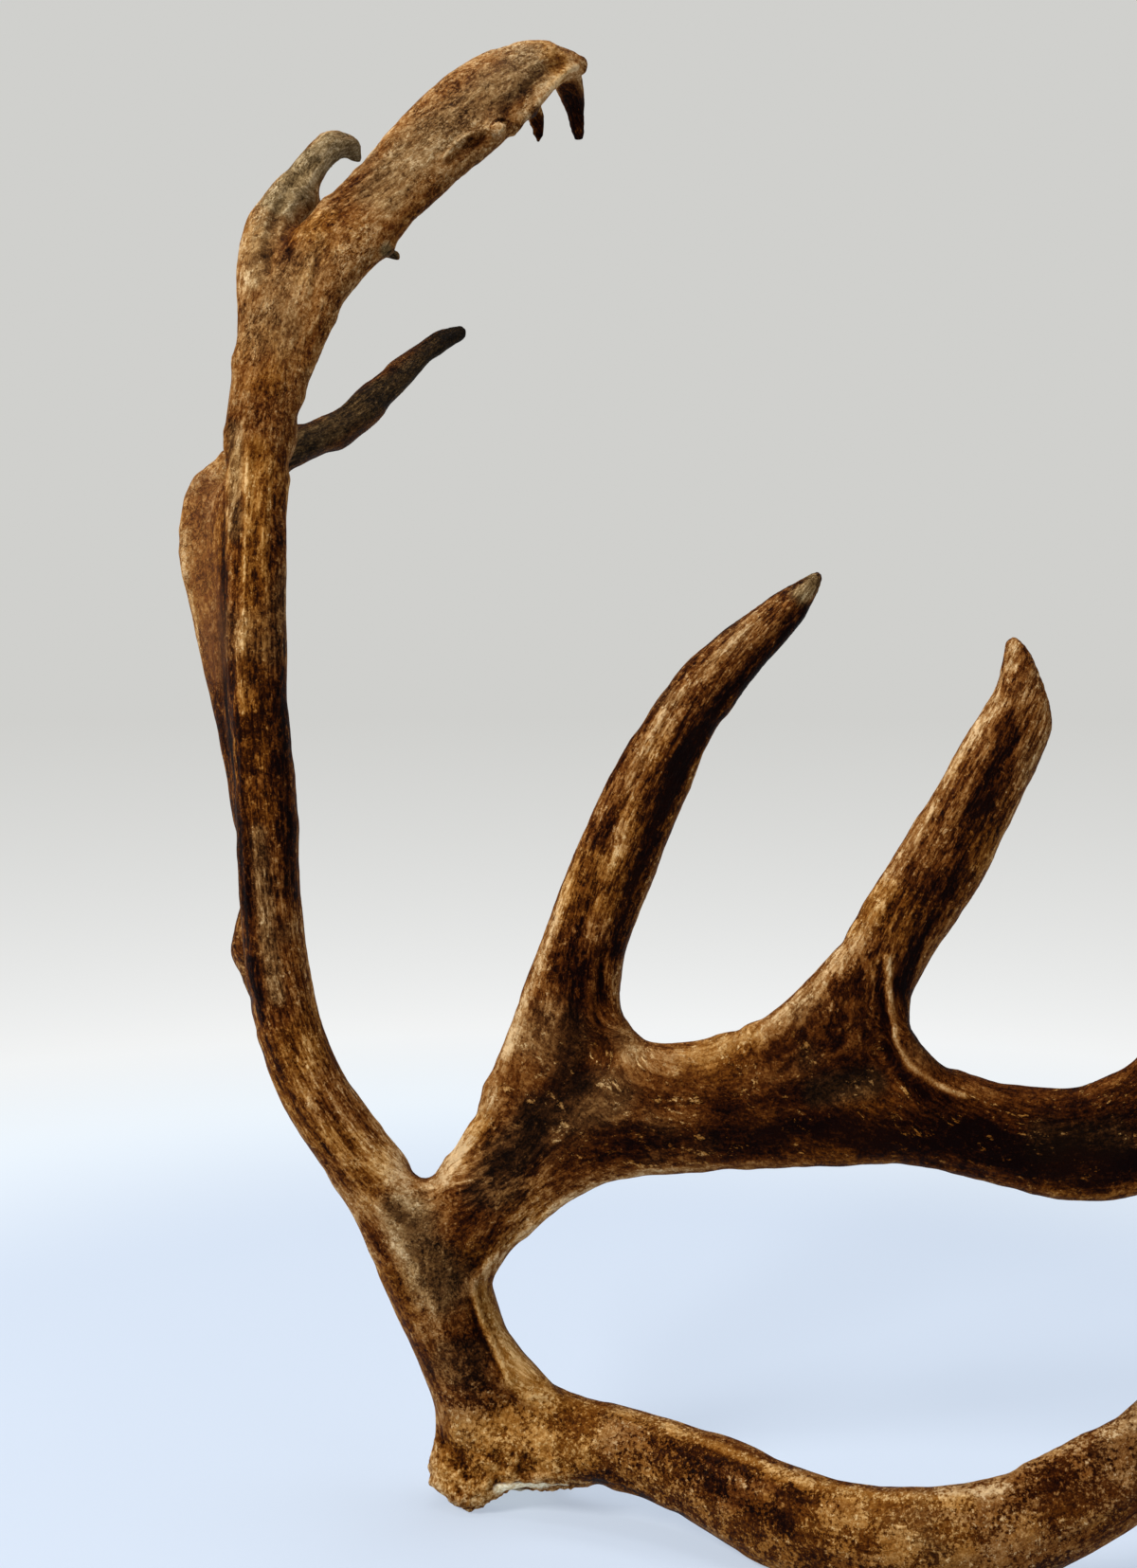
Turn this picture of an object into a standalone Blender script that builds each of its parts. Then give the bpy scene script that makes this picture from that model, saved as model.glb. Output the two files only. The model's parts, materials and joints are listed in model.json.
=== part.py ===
"""A shed caribou antler, standing on its burr and the low sweep of its brow tine.

The origin is the spot on the burr that touches the ground, +Z is up, +X runs forward along the
brow and bez tines, and +Y runs from the outer side of the antler to its inner side. Stations and
lumps are written in millimetres and become metres through MM.
"""

import math

import bmesh
import bpy
from mathutils import Matrix, Vector

MM = 0.001

# How the limbs are skinned and fused. Smoothing draws the surface in, so each limb is made
# a little thicker by the allowance.
RING_POINTS = 24
RING_SPACING = 5.0
VOXEL = 2.6
SMOOTHING_PASSES = 10
SMOOTHING_ALLOWANCE = 1.2
SOLID_TRIANGLES = 8000

# The saw-thin gap between two pieces that meet at a fork.
FORK_GAP = 0.3

# The block of ground that cuts the resting spots flat.
GROUND_MIDDLE = (180, 60)
GROUND_HALF = 500

# The ways the flat sides of the limbs face.
FRONT_FACE = (0.0, -1.0, 0.0)
WEB_FACE = (-0.78, -0.60, 0.10)
CROWN_FACE = (0.10, -0.93, 0.35)

# Each limb is the way its flat side faces and its stations from root to tip:
# x, y and z of the centre, the width across the flat side, and the thickness.
LIMBS = {
    "main beam": (FRONT_FACE, [
        (27, 14, 11, 72, 60),
        (19, 12, 36, 68, 54),
        (8, 8, 76, 60, 49),
        (-6, 4, 115, 60, 45),
        (-17, 2, 146, 64, 43),
        (-28, 0, 174, 65, 41),
        (-49, 0, 204, 49, 38),
        (-75, 0, 238, 44, 36),
        (-94, 3, 267, 43, 35),
        (-107, 6, 296, 41, 34),
        (-114, 10, 325, 39, 34),
        (-121, 17, 378, 38, 33),
        (-124, 24, 443, 37, 33),
        (-129, 30, 502, 36, 33),
        (-131, 38, 561, 37, 33),
        (-132, 46, 615, 37, 32),
        (-131, 54, 656, 41, 31),
        (-128, 62, 693, 50, 30),
        (-121, 70, 726, 51, 29),
        (-112, 78, 754, 53, 28),
    ]),
    "crown palm": (CROWN_FACE, [
        (-116, 74, 744, 52, 29),
        (-102, 84, 773, 55, 28),
        (-79, 96, 805, 55, 27),
        (-51, 110, 837, 55, 26),
        (-20, 126, 871, 57, 25),
        (10, 144, 903, 58, 24),
        (31, 158, 919, 51, 22),
        (48, 170, 930, 36, 20),
        (64, 180, 935, 21, 15),
        (73, 186, 934, 13, 11),
        (78, 189, 932, 7, 7),
    ]),
    "crown hook": (FRONT_FACE, [
        (-124, 78, 748, 46, 28),
        (-132, 88, 776, 34, 26),
        (-131, 100, 805, 31, 24),
        (-119, 112, 829, 28, 22),
        (-107, 124, 852, 25, 20),
        (-98, 133, 865, 22, 18),
        (-89, 140, 871, 19, 16),
        (-81, 146, 870, 15, 14),
        (-76, 149, 867, 11, 11),
        (-75, 150, 861, 7, 7),
    ]),
    "crown inner tine": (FRONT_FACE, [
        (-114, 116, 826, 22, 18),
        (-96, 140, 823, 17, 15),
        (-76, 165, 816, 14, 12),
        (-62, 185, 811, 11, 9),
        (-54, 195, 809, 5, 6),
    ]),
    "crown end tine": (FRONT_FACE, [
        (60, 188, 936, 22, 14),
        (66, 208, 921, 18, 12),
        (70, 217, 908, 12, 9),
        (73, 224, 893, 5, 5),
    ]),
    "crown small tine": (FRONT_FACE, [
        (36, 172, 922, 15, 12),
        (42, 192, 903, 10, 9),
        (45, 200, 886, 5, 5),
    ]),
    "rear web": (WEB_FACE, [
        (-128, 28, 425, 36, 24),
        (-137, 42, 470, 48, 22),
        (-148, 56, 525, 66, 21),
        (-156, 68, 575, 82, 21),
        (-156, 80, 612, 86, 22),
        (-150, 90, 638, 66, 22),
        (-146, 98, 652, 30, 18),
    ]),
    "rear tine": (FRONT_FACE, [
        (-163, 82, 556, 24, 24),
        (-171, 91, 588, 34, 26),
        (-174, 106, 618, 36, 26),
        (-168, 126, 644, 37, 26),
        (-150, 158, 662, 34, 26),
        (-124, 196, 679, 31, 26),
        (-100, 225, 693, 27, 25),
        (-72, 260, 719, 23, 22),
        (-40, 296, 753, 16, 17),
        (-24, 314, 768, 13, 13),
        (-13, 325, 775, 7, 8),
    ]),
    "small rear tine": (FRONT_FACE, [
        (-120, 14, 308, 28, 26),
        (-130, 42, 331, 24, 24),
        (-145, 74, 345, 20, 20),
        (-148, 104, 362, 16, 16),
        (-149, 130, 381, 11, 11),
        (-148, 146, 394, 5, 6),
    ]),
    "bez palm": (FRONT_FACE, [
        (-23, 0, 165, 60, 42),
        (0, -2, 187, 65, 40),
        (22, -6, 208, 67, 36),
        (43, -10, 232, 78, 33),
        (71, -16, 250, 80, 31),
        (100, -22, 259, 81, 30),
        (128, -28, 262, 81, 29),
        (162, -36, 267, 81, 29),
        (196, -44, 272, 82, 29),
        (229, -52, 273, 80, 29),
        (259, -58, 271, 69, 29),
        (289, -64, 265, 62, 28),
        (317, -68, 258, 60, 28),
        (344, -72, 254, 63, 28),
        (371, -75, 254, 68, 27),
        (396, -77, 261, 75, 26),
        (425, -78, 274, 70, 25),
        (458, -76, 286, 55, 24),
        (499, -70, 302, 39, 22),
        (535, -60, 325, 25, 18),
        (562, -48, 348, 13, 13),
        (572, -42, 361, 6, 7),
    ]),
    "bez tine 1": (FRONT_FACE, [
        (35, -10, 247, 54, 30),
        (47, -12, 275, 60, 31),
        (58, -14, 303, 61, 31),
        (69, -14, 335, 59, 30),
        (81, -13, 379, 50, 29),
        (93, -12, 410, 50, 29),
        (105, -10, 440, 48, 28),
        (118, -7, 468, 47, 27),
        (133, -3, 496, 42, 26),
        (153, 2, 523, 38, 25),
        (170, 8, 541, 33, 23),
        (185, 13, 554, 28, 21),
        (200, 19, 567, 23, 18),
        (212, 24, 577, 16, 14),
        (224, 30, 590, 7, 8),
    ]),
    "bez tine 2": (FRONT_FACE, [
        (165, -38, 270, 80, 28),
        (188, -45, 277, 80, 28),
        (208, -50, 296, 83, 28),
        (226, -52, 322, 69, 29),
        (243, -54, 350, 55, 29),
        (259, -54, 376, 50, 29),
        (277, -54, 403, 51, 28),
        (293, -53, 431, 51, 28),
        (309, -51, 462, 47, 27),
        (323, -48, 487, 44, 26),
        (331, -46, 506, 39, 24),
        (332, -44, 524, 26, 20),
        (330, -43, 539, 17, 15),
        (326, -42, 551, 8, 9),
    ]),
    "bez tine 3": (FRONT_FACE, [
        (411, -78, 275, 61, 26),
        (428, -80, 309, 49, 26),
        (444, -82, 343, 42, 25),
        (460, -83, 382, 37, 24),
        (475, -82, 420, 32, 22),
        (486, -80, 456, 24, 19),
        (494, -77, 486, 14, 15),
        (497, -75, 502, 6, 8),
    ]),
    "brow tine": (FRONT_FACE, [
        (17, 8, 39, 66, 52),
        (41, 2, 43, 72, 50),
        (68, -8, 45, 62, 47),
        (94, -20, 47, 52, 44),
        (123, -36, 45, 51, 42),
        (151, -56, 40, 58, 39),
        (178, -78, 35, 62, 38),
        (204, -98, 32, 64, 38),
        (229, -114, 32, 65, 38),
        (255, -125, 33, 66, 38),
        (281, -131, 37, 65, 37),
        (307, -133, 42, 65, 36),
        (334, -131, 51, 62, 36),
        (362, -126, 63, 61, 34),
        (390, -118, 77, 59, 32),
        (420, -105, 95, 60, 30),
        (448, -90, 110, 60, 28),
        (478, -72, 130, 46, 25),
        (503, -55, 155, 32, 22),
        (520, -42, 182, 20, 17),
        (528, -35, 204, 10, 11),
        (530, -33, 212, 5, 6),
    ]),
    "brow foot": (FRONT_FACE, [
        (448, -90, 104, 50, 26),
        (472, -72, 84, 42, 25),
        (490, -55, 58, 33, 23),
        (500, -42, 32, 25, 20),
        (504, -35, 8, 17, 16),
        (504, -34, -4, 12, 12),
    ]),
}

# Thin bars that round out the crotches between neighbouring limbs, laid as the limbs are.
CROTCHES = {
    "bez tine 1 front": (FRONT_FACE, [
        (82, -16, 336, 16, 18),
        (88, -18, 313, 22, 22),
        (104, -22, 295, 19, 22),
        (129, -28, 288, 13, 20),
    ]),
    "bez tine 2 front": (FRONT_FACE, [
        (255, -56, 344, 16, 18),
        (259, -58, 319, 20, 22),
        (274, -60, 299, 18, 22),
        (296, -64, 284, 13, 20),
    ]),
    "beam and bez": (FRONT_FACE, [
        (0, 0, 130, 24, 24),
        (8, 0, 160, 30, 28),
        (26, -3, 185, 30, 26),
        (56, -10, 210, 22, 22),
    ]),
    "beam and brow": (FRONT_FACE, [
        (12, -2, 117, 20, 26),
        (27, -4, 91, 26, 30),
        (49, -6, 72, 24, 30),
        (80, -14, 60, 16, 26),
    ]),
}

# Lumps of the burr and the seal under it: centre and the three radii.
BURR_LUMPS = [
    (0, -2, 13, 17, 15, 15),
    (-11, 4, 24, 13, 12, 11),
    (9, -7, 20, 13, 12, 11),
    (-14, 10, 40, 8, 9, 8),
    (-12, 10, 50, 7, 8, 6),
    (-7, 26, 17, 12, 11, 12),
    (3, 40, 13, 13, 12, 15),
    (24, 48, 12, 14, 12, 14),
    (43, 44, 17, 12, 11, 12),
    (56, 32, 21, 11, 11, 11),
    (31, -12, 23, 12, 9, 9),
    (49, -10, 23, 10, 8, 8),
    (63, -2, 21, 9, 10, 7),
]
SEAL = (31, 17, 24, 29, 27, 22)
CROWN_BUD = (19, 118, 878, 8, 7, 6)

# Where each fork is cut: the middle of a thin round saw cut, the way it faces, and its radius.
FORK_CUTS = {
    "brow tine": ((63, -6, 45), (1.0, -0.25, 0.0), 56),
    "bez palm": ((11, -4, 193), (0.83, 0.0, 0.55), 49),
    "middle beam": ((-73, 0, 236), (0.0, 0.0, 1.0), 41),
    "bez tine 1": ((68, -14, 331), (0.24, 0.0, 0.97), 43),
    "bez tine 2": ((243, -54, 344), (0.28, 0.0, 0.96), 44),
    "bez tine 3": ((437, -81, 336), (0.15, 0.0, 0.99), 36),
    "small rear tine": ((-131, 36, 326), (0.0, 1.0, 0.0), 30),
    "rear tine": ((-145, 62, 555), (-0.62, 0.78, -0.13), 132),
    "crown": ((-127, 62, 692), (0.12, 0.20, 0.97), 44),
}

# Each piece: a point that lies nearer to its surface than to any other's, and its colour.
PIECES = {
    "burr_and_lower_beam": ((0, 6, 90), (0.150, 0.090, 0.045)),
    "brow_tine": ((230, -114, 30), (0.190, 0.120, 0.062)),
    "bez_palm": ((165, -36, 268), (0.080, 0.052, 0.034)),
    "bez_tine_1": ((105, -10, 440), (0.150, 0.088, 0.045)),
    "bez_tine_2": ((292, -53, 431), (0.170, 0.110, 0.068)),
    "bez_tine_3": ((460, -83, 382), (0.160, 0.105, 0.060)),
    "middle_beam": ((-124, 24, 443), (0.120, 0.070, 0.035)),
    "small_rear_tine": ((-147, 96, 358), (0.160, 0.100, 0.055)),
    "rear_tine": ((-124, 196, 680), (0.130, 0.085, 0.052)),
    "crown": ((-70, 100, 815), (0.210, 0.135, 0.080)),
}
ROUGHNESS = 0.55


def catmull_rom(before, start, end, after, t):
    """One number of a smooth curve from start to end."""
    return 0.5 * (
        2 * start
        + (end - before) * t
        + (2 * before - 5 * start + 4 * end - after) * t * t
        + (3 * start - before - 3 * end + after) * t * t * t
    )


def along(stations):
    """The stations of a limb, read at even steps from a smooth curve through them."""
    rows = []
    last = len(stations) - 1
    for i in range(last):
        around = [stations[max(0, min(last, i + k))] for k in (-1, 0, 1, 2)]
        length = math.dist(around[1][:3], around[2][:3])
        steps = max(1, round(length / RING_SPACING))
        for step in range(steps):
            t = step / steps
            rows.append([catmull_rom(*values, t) for values in zip(*around, strict=True)])
    rows.append(list(stations[-1]))
    return rows


def add_limb(bm, face, stations):
    """A closed loft of elliptical rings along one limb."""
    rows = along(stations)
    centres = [Vector(row[:3]) for row in rows]
    rings = []
    for i, (row, centre) in enumerate(zip(rows, centres, strict=True)):
        ahead = centres[min(i + 1, len(rows) - 1)] - centres[max(i - 1, 0)]
        across = ahead.cross(Vector(face)).normalized()
        through = across.cross(ahead).normalized()
        width = row[3] + SMOOTHING_ALLOWANCE
        thickness = row[4] + SMOOTHING_ALLOWANCE
        ring = []
        for point in range(RING_POINTS):
            angle = math.tau * point / RING_POINTS
            side = across * (math.cos(angle) * width / 2)
            depth = through * (math.sin(angle) * thickness / 2)
            ring.append(bm.verts.new((centre + side + depth) * MM))
        rings.append(ring)
    faces = [bm.faces.new(rings[0][::-1]), bm.faces.new(rings[-1])]
    for low, high in zip(rings, rings[1:]):
        for i in range(RING_POINTS):
            j = (i + 1) % RING_POINTS
            faces.append(bm.faces.new((low[i], low[j], high[j], high[i])))
    bmesh.ops.recalc_face_normals(bm, faces=faces)


def add_lump(bm, lump):
    """A closed ellipsoid."""
    centre = Vector(lump[:3]) * MM
    radii = [radius * MM for radius in lump[3:]]
    place = Matrix.Translation(centre) @ Matrix.Diagonal((*radii, 1.0))
    bmesh.ops.create_icosphere(bm, subdivisions=3, radius=1.0, matrix=place)


def rough_antler():
    """All limbs and lumps as one mesh of overlapping closed shapes."""
    bm = bmesh.new()
    for face, stations in [*LIMBS.values(), *CROTCHES.values()]:
        add_limb(bm, face, stations)
    for lump in [*BURR_LUMPS, SEAL, CROWN_BUD]:
        add_lump(bm, lump)
    mesh = bpy.data.meshes.new("antler")
    bm.to_mesh(mesh)
    bm.free()
    return bpy.data.objects.new("antler", mesh)


def settle(obj):
    """Replaces the object's mesh by the one that its modifiers make."""
    depsgraph = bpy.context.evaluated_depsgraph_get()
    mesh = bpy.data.meshes.new_from_object(obj.evaluated_get(depsgraph))
    obj.modifiers.clear()
    obj.data = mesh


def fuse(obj):
    """Grows the overlapping shapes together into one smooth skin, then thins its triangles."""
    remesh = obj.modifiers.new("fuse", "REMESH")
    remesh.mode = "VOXEL"
    remesh.voxel_size = VOXEL * MM
    smooth = obj.modifiers.new("smooth", "SMOOTH")
    smooth.factor = 0.5
    smooth.iterations = SMOOTHING_PASSES
    triangulate = obj.modifiers.new("triangles", "TRIANGULATE")
    triangulate.quad_method = "SHORTEST_DIAGONAL"
    settle(obj)
    decimate = obj.modifiers.new("thin", "DECIMATE")
    decimate.ratio = SOLID_TRIANGLES / len(obj.data.polygons)
    settle(obj)


def as_cutter(obj, name, centre, facing, collection):
    """Lays a shape that was made round the origin where it cuts, its Z axis looking the way given."""
    obj.name = name
    for owner in obj.users_collection:
        owner.objects.unlink(obj)
    collection.objects.link(obj)
    turn = Vector(facing).to_track_quat("Z", "Y").to_matrix().to_4x4()
    obj.matrix_world = Matrix.Translation(Vector(centre) * MM) @ turn
    obj.hide_render = True
    obj.display_type = "WIRE"
    return obj


def cut(obj, cutter):
    """Takes the cutter's shape out of the object."""
    boolean = obj.modifiers.new(cutter.name, "BOOLEAN")
    boolean.operation = "DIFFERENCE"
    boolean.solver = "EXACT"
    boolean.object = cutter


def make_cutters(collection):
    """The ground that flattens what the antler rests on, and a thin saw cut at each fork."""
    bpy.ops.mesh.primitive_cube_add(size=2 * GROUND_HALF * MM)
    middle = (GROUND_MIDDLE[0], GROUND_MIDDLE[1], -GROUND_HALF)
    cutters = [as_cutter(bpy.context.object, "ground", middle, (0, 0, 1), collection)]
    for name, (centre, facing, radius) in FORK_CUTS.items():
        bpy.ops.mesh.primitive_cylinder_add(vertices=32, radius=radius * MM, depth=FORK_GAP * MM)
        cutters.append(as_cutter(bpy.context.object, f"cut {name}", centre, facing, collection))
    return cutters


def material(name, colour):
    """A matt coat of the piece's own brown."""
    made = bpy.data.materials.new(name)
    made.use_nodes = True
    shader = made.node_tree.nodes["Principled BSDF"]
    shader.inputs["Base Color"].default_value = (*colour, 1.0)
    shader.inputs["Roughness"].default_value = ROUGHNESS
    shader.inputs["Metallic"].default_value = 0.0
    return made


def islands(mesh):
    """The connected parts of a mesh, each a set of vertex numbers."""
    bm = bmesh.new()
    bm.from_mesh(mesh)
    seen = set()
    found = []
    for start in bm.verts:
        if start in seen:
            continue
        seen.add(start)
        group = [start]
        for vert in group:
            for edge in vert.link_edges:
                other = edge.other_vert(vert)
                if other not in seen:
                    seen.add(other)
                    group.append(other)
        found.append({vert.index for vert in group})
    bm.free()
    return found


def keep(mesh, kept):
    """A copy of the mesh with only the vertices kept."""
    bm = bmesh.new()
    bm.from_mesh(mesh)
    dropped = [vert for vert in bm.verts if vert.index not in kept]
    bmesh.ops.delete(bm, geom=dropped, context="VERTS")
    copy = bpy.data.meshes.new("piece")
    bm.to_mesh(copy)
    bm.free()
    return copy


def split(obj, collection):
    """Makes each connected part of the cut antler an object of its own, named by its place."""
    groups = islands(obj.data)
    for name, (seed, colour) in PIECES.items():
        point = Vector(seed) * MM
        nearest = min(obj.data.vertices, key=lambda vert: (vert.co - point).length).index
        group = next(group for group in groups if nearest in group)
        mesh = keep(obj.data, group)
        mesh.name = name
        mesh.materials.clear()
        mesh.materials.append(material(name, colour))
        mesh.shade_smooth()
        piece = bpy.data.objects.new(name, mesh)
        collection.objects.link(piece)
    if len(groups) != len(PIECES):
        print("parts after the cuts:", len(groups), "pieces named:", len(PIECES))


def main():
    for obj in list(bpy.data.objects):
        bpy.data.objects.remove(obj, do_unlink=True)
    antler = bpy.data.collections.new("caribou antler")
    cutter_home = bpy.data.collections.new("cutters")
    bpy.context.scene.collection.children.link(antler)
    bpy.context.scene.collection.children.link(cutter_home)
    whole = rough_antler()
    antler.objects.link(whole)
    fuse(whole)
    for cutter in make_cutters(cutter_home):
        cut(whole, cutter)
    settle(whole)
    split(whole, antler)
    bpy.data.objects.remove(whole, do_unlink=True)


main()
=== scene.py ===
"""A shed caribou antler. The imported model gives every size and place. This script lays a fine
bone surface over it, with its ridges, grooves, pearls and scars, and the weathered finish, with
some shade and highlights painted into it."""

import heapq
import itertools
import json
import math
from collections import namedtuple

import bmesh
import bpy
import numpy as np
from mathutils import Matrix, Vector
from mathutils.bvhtree import BVHTree
from mathutils.kdtree import KDTree

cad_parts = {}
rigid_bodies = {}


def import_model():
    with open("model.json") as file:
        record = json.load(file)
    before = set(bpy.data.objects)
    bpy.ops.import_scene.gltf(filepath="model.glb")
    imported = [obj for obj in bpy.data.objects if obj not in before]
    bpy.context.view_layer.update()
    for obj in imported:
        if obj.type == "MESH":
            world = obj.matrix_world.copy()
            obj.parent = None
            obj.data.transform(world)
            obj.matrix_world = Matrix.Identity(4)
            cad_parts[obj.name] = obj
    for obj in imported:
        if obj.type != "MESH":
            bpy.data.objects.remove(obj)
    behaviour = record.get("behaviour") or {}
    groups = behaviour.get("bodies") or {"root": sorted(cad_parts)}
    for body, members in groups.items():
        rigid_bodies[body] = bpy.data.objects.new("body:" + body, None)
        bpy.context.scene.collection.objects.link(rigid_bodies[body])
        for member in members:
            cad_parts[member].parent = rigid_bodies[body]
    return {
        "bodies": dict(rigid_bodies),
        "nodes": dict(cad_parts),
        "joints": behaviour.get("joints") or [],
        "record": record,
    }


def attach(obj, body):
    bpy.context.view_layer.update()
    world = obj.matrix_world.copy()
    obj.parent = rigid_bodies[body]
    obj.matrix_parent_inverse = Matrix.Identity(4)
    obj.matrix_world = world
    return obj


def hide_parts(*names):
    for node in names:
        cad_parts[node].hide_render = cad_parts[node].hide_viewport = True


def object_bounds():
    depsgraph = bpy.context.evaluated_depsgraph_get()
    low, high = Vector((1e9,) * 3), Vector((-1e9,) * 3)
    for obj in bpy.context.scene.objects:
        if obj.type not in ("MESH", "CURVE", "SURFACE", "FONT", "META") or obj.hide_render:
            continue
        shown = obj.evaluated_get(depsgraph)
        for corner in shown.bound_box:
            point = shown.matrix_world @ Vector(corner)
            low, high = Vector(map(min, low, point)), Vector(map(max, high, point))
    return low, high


MM = 0.001

# The photograph's frame and the camera that took it
FRAME_WIDTH = 1200
FRAME_HEIGHT = 1655
FOCAL_PIXELS = 2200.0
SENSOR = 36.0
CAMERA_PLACE = Vector((0.065, -1.275, 0.570))
CAMERA_PITCH_DOWN = math.radians(5.0)

# The skin's meshes
SKIN_VOXEL = 1.5 * MM
BASE_VOXEL = 3.0 * MM
GUIDE_VOXEL = 5.0 * MM
GUIDE_BLUR = 10.0 * MM
FILL_BLUR = 20.0 * MM
BULGE_BLUR = 17.0 * MM
WELD_DISTANCE = 0.6 * MM

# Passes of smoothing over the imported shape, and the loss in millimetres that marks a thin tip
FACET_PASSES = 24
TIP_PASSES = 4
TIP_LOSS = (0.25, 0.9)
TIP_BLEND_PASSES = 6
GRID_PASSES = 8
RESHAPED_PASSES = 3

# The saw cuts: how near two faces of a cut lie, and how far the skin is cut and shared there
CAP_DISTANCE = 0.45 * MM
CAP_FACING = -0.9
CUT_MARGIN = 8.0 * MM
SLICE_DEPTH = 6.0 * MM
SLICE_TOLERANCE = 0.1 * MM

# Growth along the limbs: passes of smoothing on the coarse skin, and sizes
WAY_PASSES = 12
MIDDLE_PASSES = 420
UPHILL_PASSES = 90
RADIUS_PASSES = 60
STANDARD_RADIUS = 20.0
LEAST_RADIUS = 5.0
BURR_SEED_HEIGHT = 12.0 * MM
BURR_SEED_REACH = 50.0 * MM

# Odd numbers that scatter the noise's lattice points
SEED_STEP = 7919
SEED_START = 17
KEY_STEP = 31
AXIS_START = 73856093
AXIS_STEP = 4211
SCATTER = 1274126177
KEY_BITS = 0x7FFFFFFF
VALUE_BITS = 0xFFFF

# The frame


def begin():
    for stray in list(bpy.data.objects):
        bpy.data.objects.remove(stray)
    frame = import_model()
    low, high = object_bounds()
    return frame, [list(low), list(high)]


# Meshes as arrays


class Skin:
    """A mesh as arrays, with a helper object whose Smooth modifier spreads values over it."""

    def __init__(self, mesh, voxel):
        self.mesh = mesh
        self.voxel = voxel
        self.points = read_all(mesh.vertices, "co", 3)
        self.helper = new_object("blur_helper", mesh.copy())
        self.spread = self.helper.modifiers.new("spread", "SMOOTH")
        self.spread.factor = 1.0

    def blur(self, values, passes):
        """Each pass moves every value half way to the mean of its neighbours' values."""
        columns = values.reshape(len(values), -1)
        held = np.zeros((len(values), 3), dtype=np.float32)
        held[:, :columns.shape[1]] = columns
        self.spread.iterations = passes
        self.helper.data.vertices.foreach_set("co", held.ravel())
        self.helper.data.update()
        graph = bpy.context.evaluated_depsgraph_get()
        graph.update()
        result = read_all(self.helper.evaluated_get(graph).data.vertices, "co", 3)
        return result[:, :columns.shape[1]].reshape(values.shape)

    def blur_over(self, values, reach):
        """Blurs over the same distance whatever the size of the mesh's squares."""
        return self.blur(values, round((reach / self.voxel) ** 2))

    def normals(self):
        self.mesh.vertices.foreach_set("co", self.points.astype(np.float32).ravel())
        self.mesh.update()
        return read_all(self.mesh.vertex_normals, "vector", 3)

    def neighbour_table(self):
        """A table with a row of neighbours for each point, filled up with the point itself."""
        edges = read_numbers(self.mesh.edges, "vertices", 2)
        both = np.concatenate([edges, edges[:, ::-1]])
        both = both[np.argsort(both[:, 0], kind="stable")]
        valence = np.bincount(both[:, 0], minlength=len(self.points))
        start = np.concatenate([[0], np.cumsum(valence)[:-1]])
        column = np.arange(len(both)) - start[both[:, 0]]
        table = np.repeat(np.arange(len(self.points))[:, None], int(valence.max()), axis=1)
        table[both[:, 0], column] = both[:, 1]
        return table

    def drop_helper(self):
        data = self.helper.data
        bpy.data.objects.remove(self.helper)
        bpy.data.meshes.remove(data)


def read_all(items, name, width):
    """One property of many items, as rows of so many numbers."""
    values = np.zeros(len(items) * width, dtype=np.float32)
    items.foreach_get(name, values)
    return values.reshape(-1, width).astype(np.float64)


def read_numbers(items, name, width):
    """The same for whole numbers, such as the numbers of points."""
    values = np.zeros(len(items) * width, dtype=np.int32)
    items.foreach_get(name, values)
    return values.reshape(-1, width)


def new_object(name, data):
    made = bpy.data.objects.new(name, data)
    bpy.context.scene.collection.objects.link(made)
    return made


def remeshed(mesh, voxel):
    """A new mesh over the same shape, made of even little squares."""
    holder = new_object("remesh_holder", mesh)
    remesh = holder.modifiers.new("remesh", "REMESH")
    remesh.mode = "VOXEL"
    remesh.voxel_size = voxel
    graph = bpy.context.evaluated_depsgraph_get()
    result = bpy.data.meshes.new_from_object(holder.evaluated_get(graph))
    bpy.data.objects.remove(holder)
    return result


def unit(vectors):
    return vectors / np.maximum(np.linalg.norm(vectors, axis=1), 1e-9)[:, None]


def along(vectors, directions):
    """How far each vector reaches along its direction."""
    return (vectors * directions).sum(axis=1)


def sideways(vectors, directions):
    """What is left of each vector across its direction."""
    return vectors - along(vectors, directions)[:, None] * directions


def ramp(values, low, high):
    """0 at low and 1 at high, with an even ease between."""
    part = np.clip((values - low) / (high - low), 0.0, 1.0)
    return part * part * (3.0 - 2.0 * part)


# Noise on arrays


def lattice_noise(points, seed):
    """Smooth noise from -1 to 1, with one unit between lattice points, in any number of columns."""
    base = np.floor(points).astype(np.int64)
    part = points - base
    ease = part * part * part * (part * (part * 6.0 - 15.0) + 10.0)
    total = np.zeros(len(points))
    columns = points.shape[1]
    for corner in itertools.product((0, 1), repeat=columns):
        key = np.full(len(points), seed * SEED_STEP + SEED_START, dtype=np.int64)
        weight = np.ones(len(points))
        for axis in range(columns):
            node = (base[:, axis] + corner[axis]) * (AXIS_START + AXIS_STEP * axis)
            key = (key * KEY_STEP + node) & KEY_BITS
            key = ((key ^ (key >> 13)) * SCATTER) & KEY_BITS
            weight *= ease[:, axis] if corner[axis] else 1.0 - ease[:, axis]
        key = key ^ (key >> 15)
        total += weight * ((key & VALUE_BITS) / (VALUE_BITS / 2) - 1.0)
    return total


def layered_noise(points, seed, layers):
    """Noise with finer and weaker layers over it, still from -1 to 1."""
    total = np.zeros(len(points))
    strength = 1.0
    reach = 0.0
    for layer in range(layers):
        total += strength * lattice_noise(points * 2.0 ** layer, seed + layer)
        reach += strength
        strength *= 0.5
    return total / reach


def grain_noise(growth, width, length, seed, layers):
    """Noise drawn out along the limbs, with its width and length in millimetres."""
    return layered_noise(np.column_stack([growth.across / width, growth.way / length]), seed, layers)


def warp(place, size, seed):
    """Three columns of noise that bend another noise's points."""
    return np.column_stack([lattice_noise(place / size, seed + k) for k in range(3)])


# The saw cuts

# A fork's cut between two nodes: a flat round face on each
SawCut = namedtuple("SawCut", "names centre facing radius")


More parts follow.
